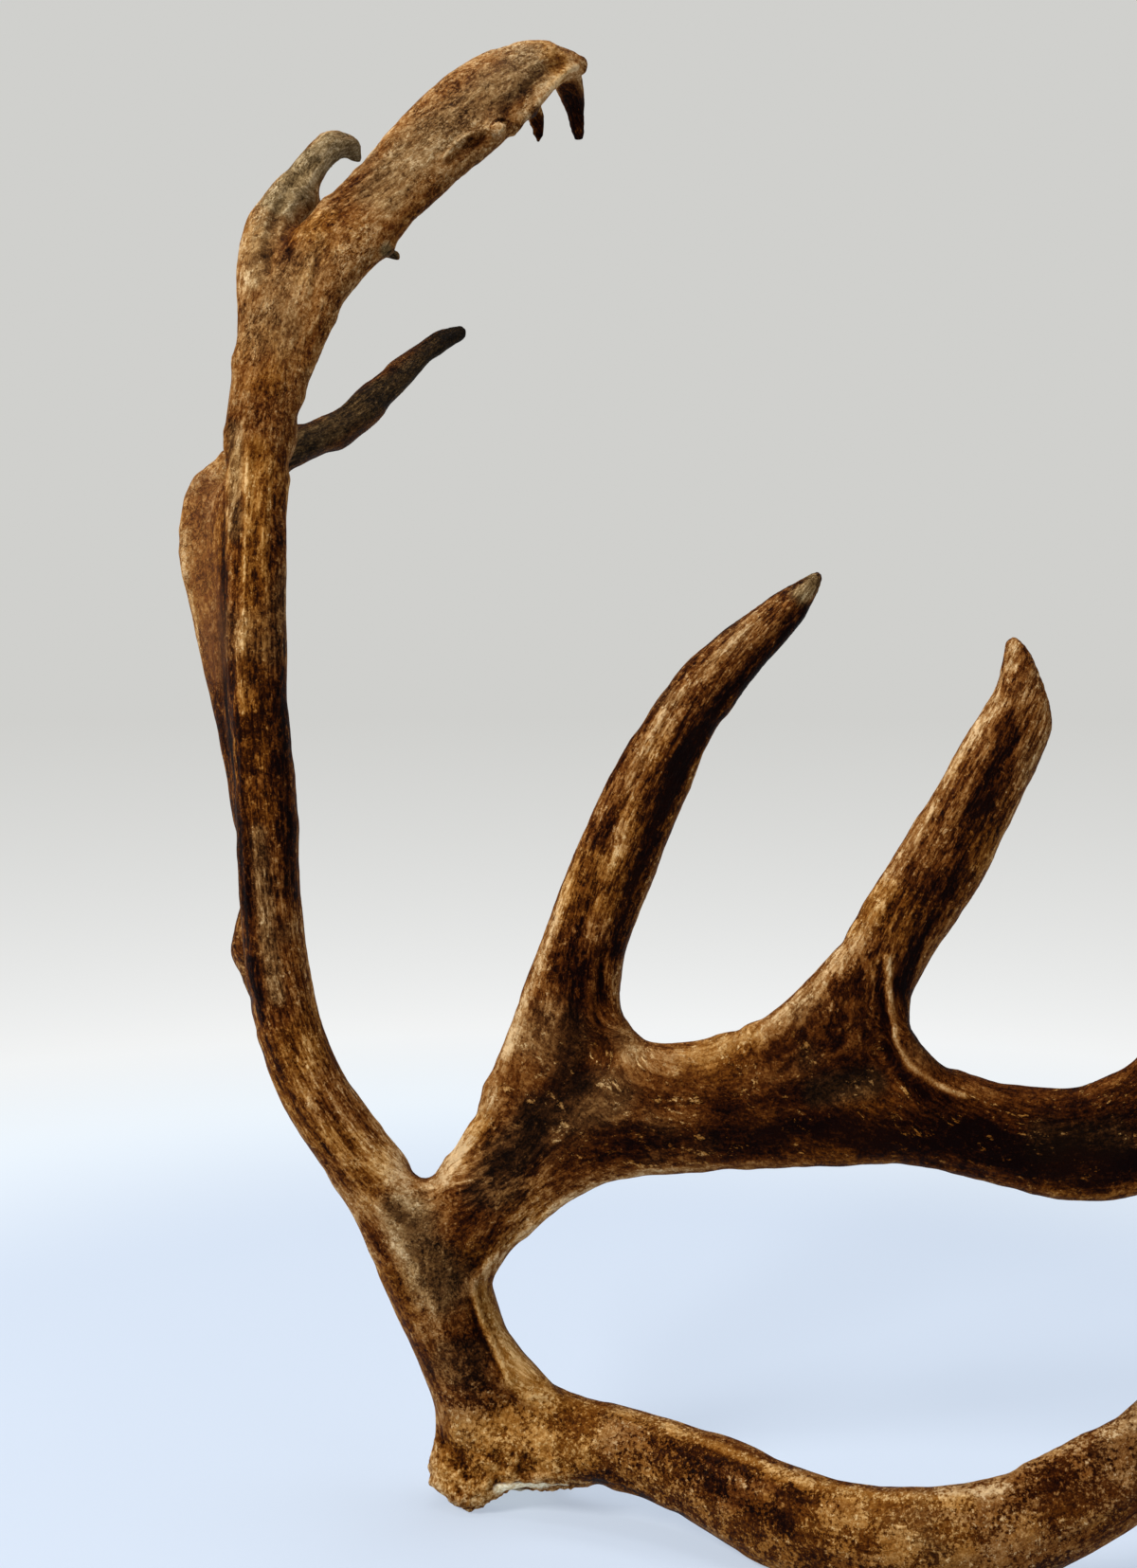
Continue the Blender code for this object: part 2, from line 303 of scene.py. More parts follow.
def cap_faces(nodes):
    """The faces of each node that lie against another node, as {(node, other): [face index]}."""
    trees = {}
    for name, node in nodes.items():
        points = [v.co for v in node.data.vertices]
        faces = [tuple(p.vertices) for p in node.data.polygons]
        trees[name] = BVHTree.FromPolygons(points, faces)
    caps = {}
    for name, node in nodes.items():
        for face in node.data.polygons:
            for other, tree in trees.items():
                if other == name:
                    continue
                place, normal, _, _ = tree.find_nearest(face.center, CAP_DISTANCE)
                if place is not None and normal.dot(face.normal) < CAP_FACING:
                    caps.setdefault((name, other), []).append(face.index)
                    break
    return caps


def find_cuts(nodes, caps):
    """One SawCut for each pair of nodes that meet."""
    cuts = []
    for (name, other), indices in sorted(caps.items()):
        if name > other:
            continue
        faces = [nodes[name].data.polygons[i] for i in indices]
        area = sum(f.area for f in faces)
        centre = sum((f.center * f.area for f in faces), Vector()) / area
        facing = sum((f.normal * f.area for f in faces), Vector()).normalized()
        corners = [nodes[name].data.vertices[v].co for f in faces for v in f.vertices]
        radius = max((corner - centre).length for corner in corners)
        cuts.append(SawCut((name, other), centre, facing, radius))
    return cuts


def whole_shape(nodes, caps):
    """The nodes as one mesh, without the faces at their cuts and welded across them."""
    left_out = {name: set() for name in nodes}
    for (name, _), indices in caps.items():
        left_out[name].update(indices)
    whole = bmesh.new()
    for name, node in sorted(nodes.items()):
        corners = [whole.verts.new(v.co) for v in node.data.vertices]
        for face in node.data.polygons:
            if face.index not in left_out[name]:
                whole.faces.new([corners[i] for i in face.vertices])
    loose = [v for v in whole.verts if not v.link_faces]
    bmesh.ops.delete(whole, geom=loose, context="VERTS")
    bmesh.ops.remove_doubles(whole, verts=whole.verts[:], dist=WELD_DISTANCE)
    mesh = bpy.data.meshes.new("whole_shape")
    whole.to_mesh(mesh)
    whole.free()
    return mesh


# The smooth skin


def without_facets(mesh, voxel):
    """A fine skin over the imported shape, without its facets but with its bulk and its thin tips."""
    base = Skin(remeshed(mesh, BASE_VOXEL), BASE_VOXEL)
    start = base.points
    heavy = eased(base, start, FACET_PASSES)
    light = eased(base, start, TIP_PASSES)
    lost = np.linalg.norm(base.blur(heavy - start, FACET_PASSES), axis=1) / MM
    thin = base.blur(ramp(lost, *TIP_LOSS), TIP_BLEND_PASSES)[:, None]
    base.points = heavy * (1.0 - thin) + light * thin
    base.normals()
    skin = Skin(remeshed(base.mesh, voxel), voxel)
    base.drop_helper()
    skin.points = eased(skin, skin.points, GRID_PASSES)
    return skin


def eased(skin, points, passes):
    """Points smoothed, with the bulk that smoothing costs given back."""
    smooth = skin.blur(points, passes)
    return smooth + skin.blur(points - smooth, passes)


# Growth: where each point is along and across its limb


class Growth:
    """For each point: the way grown from the burr, the limb's direction and radius, and the place
    across the limb, in millimetres on a limb of standard radius."""

    def __init__(self, shape, skin):
        coarse = Skin(remeshed(shape, GUIDE_VOXEL), GUIDE_VOXEL)
        points = coarse.points
        way = coarse.blur(self.walk(coarse), WAY_PASSES)
        middle = coarse.blur(points, MIDDLE_PASSES)
        uphill = unit(coarse.blur(self.slope(coarse, way), UPHILL_PASSES))
        offset = sideways(points - middle, uphill)
        radius = coarse.blur(np.linalg.norm(offset, axis=1), RADIUS_PASSES)
        nearest = self.nearest(coarse, skin)
        self.way = skin.blur_over(way[nearest], GUIDE_BLUR) / MM
        self.uphill = unit(skin.blur_over(uphill[nearest], GUIDE_BLUR))
        self.radius = skin.blur_over(radius[nearest], GUIDE_BLUR) / MM
        offset = sideways(skin.points - skin.blur_over(middle[nearest], GUIDE_BLUR), self.uphill)
        self.across = offset / MM * (STANDARD_RADIUS / np.maximum(self.radius, LEAST_RADIUS))[:, None]
        coarse.drop_helper()

    @staticmethod
    def walk(coarse):
        """The distance along the skin from the burr, by the shortest chain of edges."""
        points = coarse.points
        low = points[:, 2] < BURR_SEED_HEIGHT
        seeds = np.nonzero(low & (np.hypot(points[:, 0], points[:, 1]) < BURR_SEED_REACH))[0]
        table = coarse.neighbour_table().tolist()
        place = points.tolist()
        far = [math.inf] * len(place)
        queue = []
        for seed in seeds.tolist():
            far[seed] = 0.0
            queue.append((0.0, seed))
        heapq.heapify(queue)
        while queue:
            way, at = heapq.heappop(queue)
            if way > far[at]:
                continue
            for to in table[at]:
                there = way + math.dist(place[at], place[to])
                if there < far[to]:
                    far[to] = there
                    heapq.heappush(queue, (there, to))
        return np.array(far)

    @staticmethod
    def slope(coarse, way):
        """The direction in which the way from the burr grows."""
        table = coarse.neighbour_table()
        step = coarse.points[table] - coarse.points[:, None, :]
        rise = way[table] - way[:, None]
        length = np.maximum((step * step).sum(axis=2), 1e-10)
        return unit((step * (rise / length)[:, :, None]).sum(axis=1))

    @staticmethod
    def nearest(coarse, skin):
        tree = KDTree(len(coarse.points))
        for index, point in enumerate(coarse.points):
            tree.insert(point, index)
        tree.balance()
        return np.array([tree.find(point)[1] for point in skin.points])


# Marks: lines drawn in the photograph's pixels and cast on to the skin


class Caster:
    """Finds the point of the skin that a pixel of the photograph shows."""

    def __init__(self, skin):
        squares = read_numbers(skin.mesh.polygons, "vertices", 4)
        self.tree = BVHTree.FromPolygons(skin.points.tolist(), squares.tolist())

    def hit(self, pixel):
        across = (pixel[0] - FRAME_WIDTH / 2) / FOCAL_PIXELS
        up = (FRAME_HEIGHT / 2 - pixel[1]) / FOCAL_PIXELS
        cosine, sine = math.cos(CAMERA_PITCH_DOWN), math.sin(CAMERA_PITCH_DOWN)
        ray = Vector((across, cosine + up * sine, up * cosine - sine))
        return self.tree.ray_cast(CAMERA_PLACE, ray.normalized())[0]

    def line(self, pixels):
        """The places that the pixels show. A pixel beside the skin is left out."""
        places = [self.hit(pixel) for pixel in in_pairs(pixels)]
        return np.array([tuple(place) for place in places if place is not None])


def distance_to_line(points, line, reach):
    """Distance from the line for the points within reach of it, and infinity for the others."""
    distance = np.full(len(points), np.inf)
    if len(line) == 0:
        return distance
    low = line.min(axis=0) - reach
    high = line.max(axis=0) + reach
    near = np.nonzero(((points > low) & (points < high)).all(axis=1))[0]
    some = points[near]
    best = np.linalg.norm(some - line[0], axis=1)
    for start, end in zip(line[:-1], line[1:]):
        step = end - start
        part = np.clip((some - start) @ step / max(step @ step, 1e-12), 0.0, 1.0)
        best = np.minimum(best, np.linalg.norm(some - start - part[:, None] * step, axis=1))
    distance[near] = best
    return distance


def in_pairs(numbers):
    """A row for each pixel of a line that is written as x,y, x,y and so on."""
    return np.array(numbers, dtype=float).reshape(-1, 2)


def bell(distance):
    """1 at no distance, and nothing from about 2."""
    return np.exp(-np.minimum(distance, FAR) ** 2)


# Distances in widths of a mark: how far it is looked for, and where a filling fades, or a stroke of stain,
# wear, painted shade or painted highlight
FAR = 9.0
BELL_REACH = 3.0
FILL_REACH = 2.0
FILL_FADE = (0.6, 1.6)
STROKE_REACH = 1.5
STROKE_FADE = (0.35, 1.15)
STROKE_STRAY = 0.4

# Edges of the outline to bring out or in: millimetres, half width in pixels, pixels
SWELLS = [
    (1.3, 12, 408,142, 425,124, 448,98),
    (0.3, 12, 462,86, 505,60),
    (-0.4, 10, 380,168, 392,158),
    (-1.0, 8, 350,202, 367,187),
    (1.6, 14, 520,50, 535,45, 585,44),
    (1.8, 12, 548,43, 575,43),
    (2.4, 9, 617,64, 621,72, 618,84),
    (2.4, 8, 600,92, 608,110, 611,135),
    (2.4, 8, 560,115, 566,128, 569,140),
    (0.6, 14, 560,128, 500,180, 410,255),
    (1.4, 12, 510,168, 535,150, 550,135),
    (-0.8, 12, 440,232, 482,194),
    (2.6, 5, 416,269),
    (-0.8, 12, 367,318, 390,290),
    (1.9, 12, 352,342, 345,356, 340,372),
    (-1.6, 12, 324,402, 321,440),
    (1.8, 12, 342,140, 360,139, 372,144),
    (-1.6, 12, 301,180, 318,160, 330,148),
    (-0.6, 10, 307,172, 320,157),
    (1.0, 12, 294,189, 276,206, 262,228),
    (-0.8, 12, 258,238, 251,280, 248,322),
    (1.2, 8, 340,208),
    (2.0, 14, 247,354, 248,377),
    (-1.6, 14, 241,405, 238,435),
    (1.6, 10, 234,458, 234,474),
    (-1.5, 8, 213,492, 226,483),
    (1.6, 14, 375,416, 398,398),
    (3.1, 12, 415,385, 435,370, 458,356),
    (1.6, 10, 472,350, 484,345),
    (1.2, 8, 488,350, 488,358),
    (-2.2, 12, 412,424, 430,406, 455,384),
    (0.6, 8, 405,438),
    (-1.9, 12, 320,441, 345,434, 368,426),
    (-2.4, 12, 310,494, 328,487, 342,482),
    (1.4, 10, 364,472, 380,462, 395,448),
    (1.0, 8, 306,505),
    (0.6, 12, 302,560, 301,600),
    (-0.9, 14, 188,545, 190,600, 194,625),
    (-0.8, 12, 203,655, 214,710, 227,770),
    (0.8, 12, 245,846, 249,898),
    (0.8, 12, 313,822, 314,872),
    (-0.8, 10, 248,962, 247,985),
    (1.2, 8, 246,1000, 258,1036),
    (-1.5, 8, 263,1056, 267,1085),
    (0.6, 12, 330,1025, 345,1095),
    (-0.7, 12, 280,1112, 308,1170, 340,1232),
    (1.2, 12, 355,1255, 390,1318),
    (0.7, 10, 378,1156, 398,1186),
    (-2.2, 11, 432,1230, 440,1238, 449,1246),
    (0.3, 10, 402,1192, 415,1208),
    (-3.4, 9, 440,1234, 448,1240),
    (1.8, 14, 514,1148, 506,1164),
    (4.2, 14, 496,1188, 474,1224),
    (-0.8, 14, 745,682, 775,657, 805,637),
    (-1.5, 12, 676,764, 702,726),
    (0.7, 12, 646,822, 627,860),
    (1.0, 12, 620,882, 590,952, 558,1045),
    (-0.6, 10, 540,1082, 520,1130),
    (2.4, 12, 846,651, 812,692, 768,752),
    (1.2, 12, 746,786, 712,860, 670,965),
    (3.2, 16, 762,1097, 786,1085),
    (1.2, 14, 665,1082, 685,1098, 710,1103, 740,1101),
    (-1.6, 12, 662,1003, 658,1034),
    (-2.3, 14, 805,1070, 845,1036, 885,995),
    (-0.8, 12, 888,990, 902,966),
    (1.0, 12, 912,952, 940,908, 968,865),
    (0.7, 10, 1006,802, 1022,772),
    (0.8, 10, 1040,740, 1056,700, 1060,682),
    (-0.9, 10, 1078,678, 1094,702, 1103,726),
    (1.5, 12, 1104,768, 1088,818, 1066,868),
    (0.7, 12, 1044,908, 1025,948),
    (0.9, 12, 1006,972, 975,1020, 962,1056),
    (-3.0, 12, 964,1086, 980,1108, 998,1122),
    (-0.8, 12, 1026,1135, 1054,1142),
    (0.8, 12, 1066,1146, 1102,1146),
    (0.7, 12, 1152,1140, 1190,1127),
    (0.4, 16, 533,1330, 560,1295, 600,1262),
    (-0.7, 12, 524,1346, 545,1312),
    (-0.8, 12, 522,1362, 534,1400),
    (0.6, 12, 540,1412, 562,1438),
    (1.6, 14, 556,1300, 585,1272, 620,1256, 672,1242),
    (0.6, 14, 695,1240, 750,1236),
    (1.6, 14, 792,1234, 848,1232),
    (0.4, 14, 875,1231, 928,1231),
    (0.6, 14, 1000,1242, 1060,1254),
    (1.9, 14, 1092,1262, 1140,1267, 1196,1264),
    (0.8, 14, 405,1350, 430,1415, 455,1490),
    (2.8, 9, 453,1552, 458,1568),
    (-0.8, 8, 462,1576, 480,1592),
    (-1.3, 8, 457,1546),
    (-1.4, 14, 588,1460, 620,1475),
    (-1.2, 14, 640,1480, 700,1500, 740,1515),
    (-1.4, 14, 822,1541, 870,1558, 925,1568),
    (-0.9, 14, 985,1570, 1030,1564, 1068,1556),
    (1.6, 14, 1085,1546, 1110,1532, 1140,1515),
    (-1.6, 12, 1178,1490, 1198,1478),
    (0.9, 12, 620,1569, 645,1570),
    (-1.7, 12, 716,1603, 742,1620, 770,1641),
    (-4.5, 14, 530,1584, 560,1582, 600,1578, 630,1576),
    (1.0, 10, 488,1598, 512,1598),
]

# How far the whole skin is brought out, in millimetres
SKIN_RISE = 0.30

# Thin ends to draw out: millimetres to the right and up, half width in pixels, pixel
PULLS = [
    (0.0, -5.5, 12, (610, 139)),
    (0.0, -2.4, 5, (612, 147)),
    (0.0, -6.2, 9, (569, 136)),
    (3.5, -2.0, 10, (413, 268)),
    (2.4, 0.0, 12, (606, 98)),
    (1.2, 0.0, 10, (568, 130)),
    (0.9, 0.9, 14, (374, 155)),
    (0.6, -1.6, 6, (377, 167)),
    (0.8, 1.6, 5, (361, 167)),
    (0.0, -1.2, 12, (484, 352)),
]

# Hollows to fill: strength, half width in pixels, pixels. Each round fills where the skin is sunk
# by up to so many millimetres.
FILL_ROUNDS = 4
FILL_DEPTH = 0.6
FILLED = [
    (0.9, 16, 236,480, 234,560, 234,640, 238,720, 243,790),
    (0.8, 26, 262,330, 285,330, 300,320),
]

# Lines that more than one mark follows. A mark on a part of one takes two numbers for each pixel.
BEAM_RIDGE = [
    262,466, 260,518, 260,550, 258,594, 257,637, 256,680, 255,724, 255,770, 256,830, 259,890, 262,950,
]
CROWN_RIM = [541,140, 552,126, 566,110, 583,90, 597,75, 608,70]
SECOND_LIP = [936,1010, 939,1060, 946,1098, 960,1124, 984,1143, 1017,1157]
SECOND_GROOVE = [928,1020, 931,1070, 938,1108, 952,1136, 976,1156]
LIP = [500,1352, 500,1368, 505,1385, 512,1400, 521,1420, 530,1440, 540,1456]
LIP_ABOVE = [503,1348, 518,1330, 540,1311, 565,1290, 595,1268]
PALE_TIP = [408,264, 417,268]

# Ridges and grooves: half width and height in millimetres, then pixels
RIDGES = [
    ("beam ridge", 2.2, 0.9, *BEAM_RIDGE),
    ("beam ridge's left groove", 3.0, -0.7, 252,480, 250,530, 250,590, 247,650, 245,720, 245,790, 248,860),
    ("beam ridge's right groove", 3.0, -0.6, 271,480, 270,540, 269,600, 267,660, 266,730, 266,800, 268,870),
    ("right flute", 3.5, -0.5, 287,500, 286,560, 285,640, 284,720, 285,800),
    ("knuckle", 3.0, 1.2, 250,464, 258,459, 266,461, 272,467),
    ("web line", 2.0, 0.6, 213,630, 226,643, 227,670, 228,702, 231,740),
    ("hook's outer ridge", 3.0, 0.9, 268,300, 272,262, 284,222, 303,188, 325,160),
    ("hook's groove", 3.0, -1.6, 282,285, 283,250, 292,220, 306,196, 322,178, 338,168),
    ("hook's middle ridge", 2.2, 0.9, 292,290, 292,256, 300,228, 314,206, 330,188),
    ("hook's inner groove", 2.5, -1.3, 303,274, 306,248, 315,230, 327,216),
    ("crown's pale ridge", 2.2, 0.8, 320,330, 323,305, 325,280, 330,256, 343,236),
    ("crown's pale groove", 2.5, -0.8, 330,320, 334,292, 340,268, 352,248),
    ("crown rim", 2.6, 2.3, *CROWN_RIM),
    ("crown rim's hollow", 5.5, -2.4, 535,118, 548,103, 562,88, 577,74, 592,66),
    ("crown's fold", 1.8, 1.5, 468,168, 476,157, 486,147, 498,141, 510,138),
    ("crown's fold hollow", 3.5, -1.5, 474,170, 484,160, 497,152, 510,147),
    ("crown's bud", 1.1, 0.8, 518,134, 521,127, 529,123, 537,126, 539,133, 532,139, 523,140, 518,134),
    ("bud's pit", 1.2, -1.0, 521,131, 526,127, 533,127),
    ("first crotch's groove", 3.0, -1.5, 637,1005, 634,1040, 632,1076, 637,1098, 648,1114),
    ("first crotch's rim", 4.0, 0.7, 648,1060, 655,1085, 672,1104, 700,1114, 735,1112),
    ("palm's arc", 3.0, -0.7, 700,1166, 762,1162, 809,1143, 852,1114, 885,1077, 903,1040),
    ("palm's second arc", 2.5, -0.5, 838,1150, 876,1118, 905,1080, 922,1040),
    ("second crotch's lip", 1.9, 1.7, *SECOND_LIP),
    ("second crotch's groove", 3.0, -1.0, *SECOND_GROOVE),
    ("lip", 2.4, 1.6, *LIP),
    ("lip's groove", 3.0, -1.3, 494,1376, 500,1394, 508,1412, 517,1432, 527,1452),
    ("lip above", 2.2, 0.8, *LIP_ABOVE),
    ("lower beam's ridge", 3.0, 0.8, 398,1270, 412,1300, 430,1330, 446,1364, 462,1392),
    ("lower beam's groove", 3.5, -0.7, 388,1284, 402,1314, 420,1348, 438,1382, 455,1420),
    ("beam's long flute", 3.5, -0.7, 292,1040, 303,1084, 322,1130, 350,1176, 384,1224),
    ("burr's rim over the seal", 3.0, 1.6, 512,1566, 530,1557, 552,1557, 580,1557, 606,1560),
    ("seal's step", 3.5, -1.6, 528,1569, 545,1568, 570,1566, 594,1565),
    ("tine 1's flute", 3.0, -0.6, 620,960, 640,900, 668,830, 704,760, 752,700),
    ("tine 2's flute", 3.0, -0.7, 930,980, 960,920, 992,860, 1022,800, 1048,745),
]

# How pale each stretch of the antler is on the whole, from 0 for black to 1 for pale bone
TONES = [
    (0.52, 600,72, 520,105),
    (0.48, 470,150, 400,220),
    (0.53, 340,290, 300,360),
    (0.48, 290,250, 330,180, 365,158),
    (0.37, 275,430, 270,500),
    (0.3, 270,570, 268,660),
    (0.14, 272,740, 280,870),
    (0.27, 284,930, 294,1030),
    (0.32, 318,1110, 370,1190),
    (0.56, 425,1250, 448,1268),
    (0.42, 455,1330, 478,1390),
    (0.3, 490,1430, 505,1470),
    (0.49, 490,1520, 560,1530),
    (0.34, 640,1530, 720,1560),
    (0.33, 790,1590, 860,1620),
    (0.38, 930,1630, 1010,1625),
    (0.38, 1090,1590, 1180,1540),
    (0.54, 212,540, 220,660),
    # The rear tine: its dark bone, with painted shade for the shadow it lies in
    (0.1, 340,460, 400,415, 470,360),
    (0.12, 850,630, 790,680),
    (0.2, 740,740, 680,850),
    (0.3, 640,930, 610,1040),
    (0.36, 1075,720, 1060,780),
    (0.26, 1020,850, 980,930),
    (0.28, 930,1010, 900,1070),
    (0.44, 570,1150, 600,1180),
    (0.38, 680,1170, 760,1180),
    (0.24, 850,1170, 930,1180),
    (0.12, 1020,1190, 1180,1200),
    (0.48, 515,1380, 550,1450),
]

# How a stretch's tone gives way to the next: a distance in millimetres, and a power of it
TONE_REACH = 2.0
TONE_CORE = 6.0
TONE_FALL = -3.0

# Stains, wear, painted shade and painted highlights of each kind: half width in millimetres, strength,
# pixels. The dark strokes on the right sides of the tines and the beam and round the crown are painted
# shade, and the pale strokes on the lit left sides of the tines and the crown's middle are painted
# highlights. Calm, patchy and mottled are zones where the bone's patterns change.
STAINS_AND_SHADING = {
    "wear_and_highlight": [
        (1.1, 1.5, *BEAM_RIDGE[:12]),
        (1.1, 0.7, *BEAM_RIDGE[10:16]),
        (4, 0.5, 243,500, 243,560, 242,620),
        (16, 0.35, 256,300, 256,360, 262,420, 262,470),
        # Paler middle of the crown: paler bone, with painted light on its rounded face
        (26, 0.45, 330,300, 380,235, 430,180, 500,120, 560,75),
        (5, 0.6, 318,1100, 345,1150, 380,1200, 420,1245),
        (9, 0.7, 405,1225, 425,1256, 440,1272),
        (8, 1.3, 446,1268, 460,1248, 480,1218, 508,1180),
        (6, 1.0, 508,1180, 527,1132, 548,1075, 575,1000, 600,930),
        (6, 0.35, 404,1295, 427,1325, 443,1362, 461,1390),
        (9, 0.9, 665,1112, 705,1122, 753,1112, 800,1092, 840,1062, 880,1022, 905,990),
        (2.6, 1.9, *SECOND_LIP),
        (6, 0.6, 1010,1150, 1060,1160, 1120,1160, 1180,1140),
        (3, 0.8, *LIP[:12]),
        (5, 0.7, 509,1345, 514,1372, 524,1400, 540,1428, 556,1448),
        (4, 1.0, 600,1474, 680,1495, 740,1519, 800,1544, 860,1566, 930,1580, 1000,1580, 1060,1570),
        (4, 0.7, 540,1318, 580,1280, 620,1256, 690,1237, 760,1231),
        (8, 0.3, 522,1396, 540,1436, 570,1470, 620,1490),
        (5, 0.9, *LIP_ABOVE, 640,1248),
        (14, 0.7, 500,1500, 540,1510, 590,1520, 640,1520),
        (14, 0.4, 470,1560, 500,1570),
        (12, 0.7, 468,1568, 484,1580),
        (14, 0.6, 860,1600, 930,1610, 1000,1610),
        # The next two: painted highlights on the lit left sides of tines 1 and 2, over their wear
        (7, 1.7, 640,925, 661,850, 684,790, 722,730, 760,692, 800,662),
        (8, 1.1, 880,1010, 925,950, 965,880, 995,830, 1022,780, 1050,737),
        (6, 0.8, 272,880, 277,930, 284,990, 291,1050),
        (5, 1.0, 197,560, 196,600, 204,640, 212,690),
        (4, 0.5, 258,640, 258,700, 258,760, 262,830),
        # Painted highlight on the lit left side of tine 1's upper end
        (4, 1.1, 756,680, 790,652, 820,632),
        (1.2, 0.7, 517,128, 524,121, 535,121),
        (1.6, 0.9, 468,166, 476,155, 486,145, 498,139),
        (2.5, 1.0, *CROWN_RIM[2:]),
    ],
    "dark": [
        # Darker along the crown's lower edge: painted shade, with darker bone
        (9, 0.8, 372,290, 421,240, 482,186, 528,144),
        # The next two: painted shade on the beam's right side, with its darker bone
        (7, 0.9, 297,480, 294,560, 292,640, 292,700),
        (8, 1.1, 296,640, 295,720, 297,800, 302,860, 306,940),
        # Painted shade in the groove between the web and the beam
        (6, 0.7, 240,480, 238,540, 236,600, 236,680, 240,760, 250,860),
        (6, 0.8, 256,900, 260,980, 270,1050, 292,1120, 330,1190, 370,1250),
        (14, 0.7, 450,1300, 470,1350, 486,1400, 500,1446),
        (22, 1.2, 490,1310, 520,1260, 560,1200, 590,1150),
        # Darker along the palm's lower edge: dark bone, with painted shade under the palm
        (18, 1.2, 610,1206, 700,1206, 800,1200, 900,1196, 1000,1200, 1090,1220, 1180,1236),
        (10, 0.8, 760,1180, 850,1150, 910,1130),
        (8, 0.8, 618,930, 610,1000, 600,1080, 590,1140),
        (4, 0.8, *SECOND_GROOVE),
        (2.2, 1.2, 496,1372, 502,1394, 510,1412, 519,1432, 529,1452),
        (10, 0.7, 452,1268, 458,1290, 470,1320),
        (5, 0.8, 688,1519, 740,1533, 800,1560, 850,1582, 900,1592),
        (9, 0.8, 612,1552, 662,1572, 718,1598, 762,1628),
        (8, 0.8, 730,1545, 765,1575, 800,1590, 830,1610),
        (12, 0.8, 1080,1570, 1130,1550, 1180,1530),
        # The next two: painted shade on the right sides of tines 1 and 2, over their darker bone
        (9, 1.7, 655,1000, 668,940, 690,870, 722,805, 765,745, 801,702, 836,664),
        (9, 1.3, 955,1040, 968,985, 1000,925, 1032,865, 1056,810, 1062,770),
        (6, 1.3, 253,760, 255,840, 259,920, 264,1000, 273,1060),
        (7, 0.5, 268,650, 270,690),
        # Painted shade on the right side of tine 1's upper end
        (7, 1.6, 790,714, 815,690, 838,664, 850,646),
        # The next two: painted shade on the crown's tines, which lie in shade
        (10, 2.6, 600,96, 608,112, 609,124, 611,136, 611,144),
        (8, 2.4, 564,118, 567,132, 569,142),
        (6, 1.1, *PALE_TIP),
        (1.0, 1.6, 519,136, 520,130, 525,126, 533,126, 538,129),
        (1.6, 0.7, 476,170, 486,160, 498,152),
        (5, 1.0, 370,1235, 400,1262, 425,1285, 440,1300),
        (9, 0.7, 392,1300, 410,1350, 430,1400, 450,1450),
        # The next four: painted shade along the crown's lower, upper-left and top edges, over its darker
        # bone
        (8, 0.9, 352,318, 378,288, 410,255, 450,215, 500,172, 548,130),
        (5, 1.0, 376,298, 402,266, 438,230, 477,193, 517,158, 546,132),
        (5, 0.5, 345,240, 359,211, 390,170, 422,135),
        (6, 0.5, 520,118, 545,98, 575,76),
        # Painted shade on the beam's right side below the crown
        (6, 0.9, 313,430, 322,395, 335,355, 350,325),
    ],
    "gold": [
        (7, 0.9, 600,1476, 680,1498, 740,1522, 800,1548, 860,1571, 930,1586, 1020,1586),
        (12, 1.3, 512,1370, 522,1400, 540,1435, 562,1465, 600,1487),
        (30, 1.3, 490,1540, 540,1530, 600,1520),
        (20, 0.8, 860,1610, 930,1625, 1000,1630),
        (14, 0.9, 272,480, 268,560, 266,640, 264,720, 268,800),
    ],
    "grey": [
        (20, 0.55, 428,1285, 448,1320, 466,1360),
        (18, 1.1, 296,212, 322,176, 350,158, 370,160),
        (16, 0.55, 270,290, 276,250, 296,210),
        (20, 0.5, 400,200, 450,150, 500,110, 560,70),
        (8, 0.5, 246,450, 247,500, 248,560),
        (8, 0.45, 272,880, 276,930, 284,1000, 291,1050),
        (24, 0.35, 285,350, 296,300, 320,280),
        (22, 0.4, 520,1250, 570,1180, 640,1160),
        (12, 0.5, 860,1150, 920,1140),
        (14, 0.4, 1100,1200, 1180,1200),
        (9, 0.9, 859,612, 856,617, 846,628),
        (6, 1.0, *PALE_TIP),
        (16, 0.9, 310,475, 380,430, 440,392, 486,352),
    ],
    "red": [
        (24, 0.9, 215,520, 212,570, 218,620, 228,690),
    ],
    "pale": [
        (7, 1.2, 859,612, 856,617, 848,626),
        (6, 0.9, 1068,680, 1066,700),
    ],
    "seal": [
        (4, 1.4, 528,1572, 545,1570, 562,1568, 575,1566),
        (1.6, 1.2, 575,1566, 590,1566, 600,1566),
    ],
    "patchy": [
        (60, 1.2, 620,1530, 800,1590, 950,1630, 1180,1540),
        (42, 1.2, 500,1500, 510,1520, 600,1530),
        (42, 0.5, 430,1275, 480,1400),
    ],
    "mottled": [
        (60, 1.0, 600,1150, 760,1170, 930,1160, 1180,1180),
    ],
    "calm": [
        (34, 0.6, 430,1275, 470,1360, 490,1440),
        (60, 1.1, 600,60, 540,100, 470,150, 400,220, 340,300, 280,400),
        (26, 1.1, 280,250, 320,180, 370,155),
        (26, 1.0, 211,505, 205,560, 214,640, 228,720),
        (26, 1.0, 330,470, 400,420, 486,352),
    ],
}


def picture_place(points):
    """The photograph's pixel at which each point shows, and the way in which it is looked at."""
    off = points - np.array(CAMERA_PLACE)
    cosine, sine = math.cos(CAMERA_PITCH_DOWN), math.sin(CAMERA_PITCH_DOWN)
    depth = off[:, 1] * cosine - off[:, 2] * sine
    up = off[:, 1] * sine + off[:, 2] * cosine
    column = FRAME_WIDTH / 2 + FOCAL_PIXELS * off[:, 0] / depth
    row = FRAME_HEIGHT / 2 - FOCAL_PIXELS * up / depth
    return np.column_stack([column, row]), unit(off)


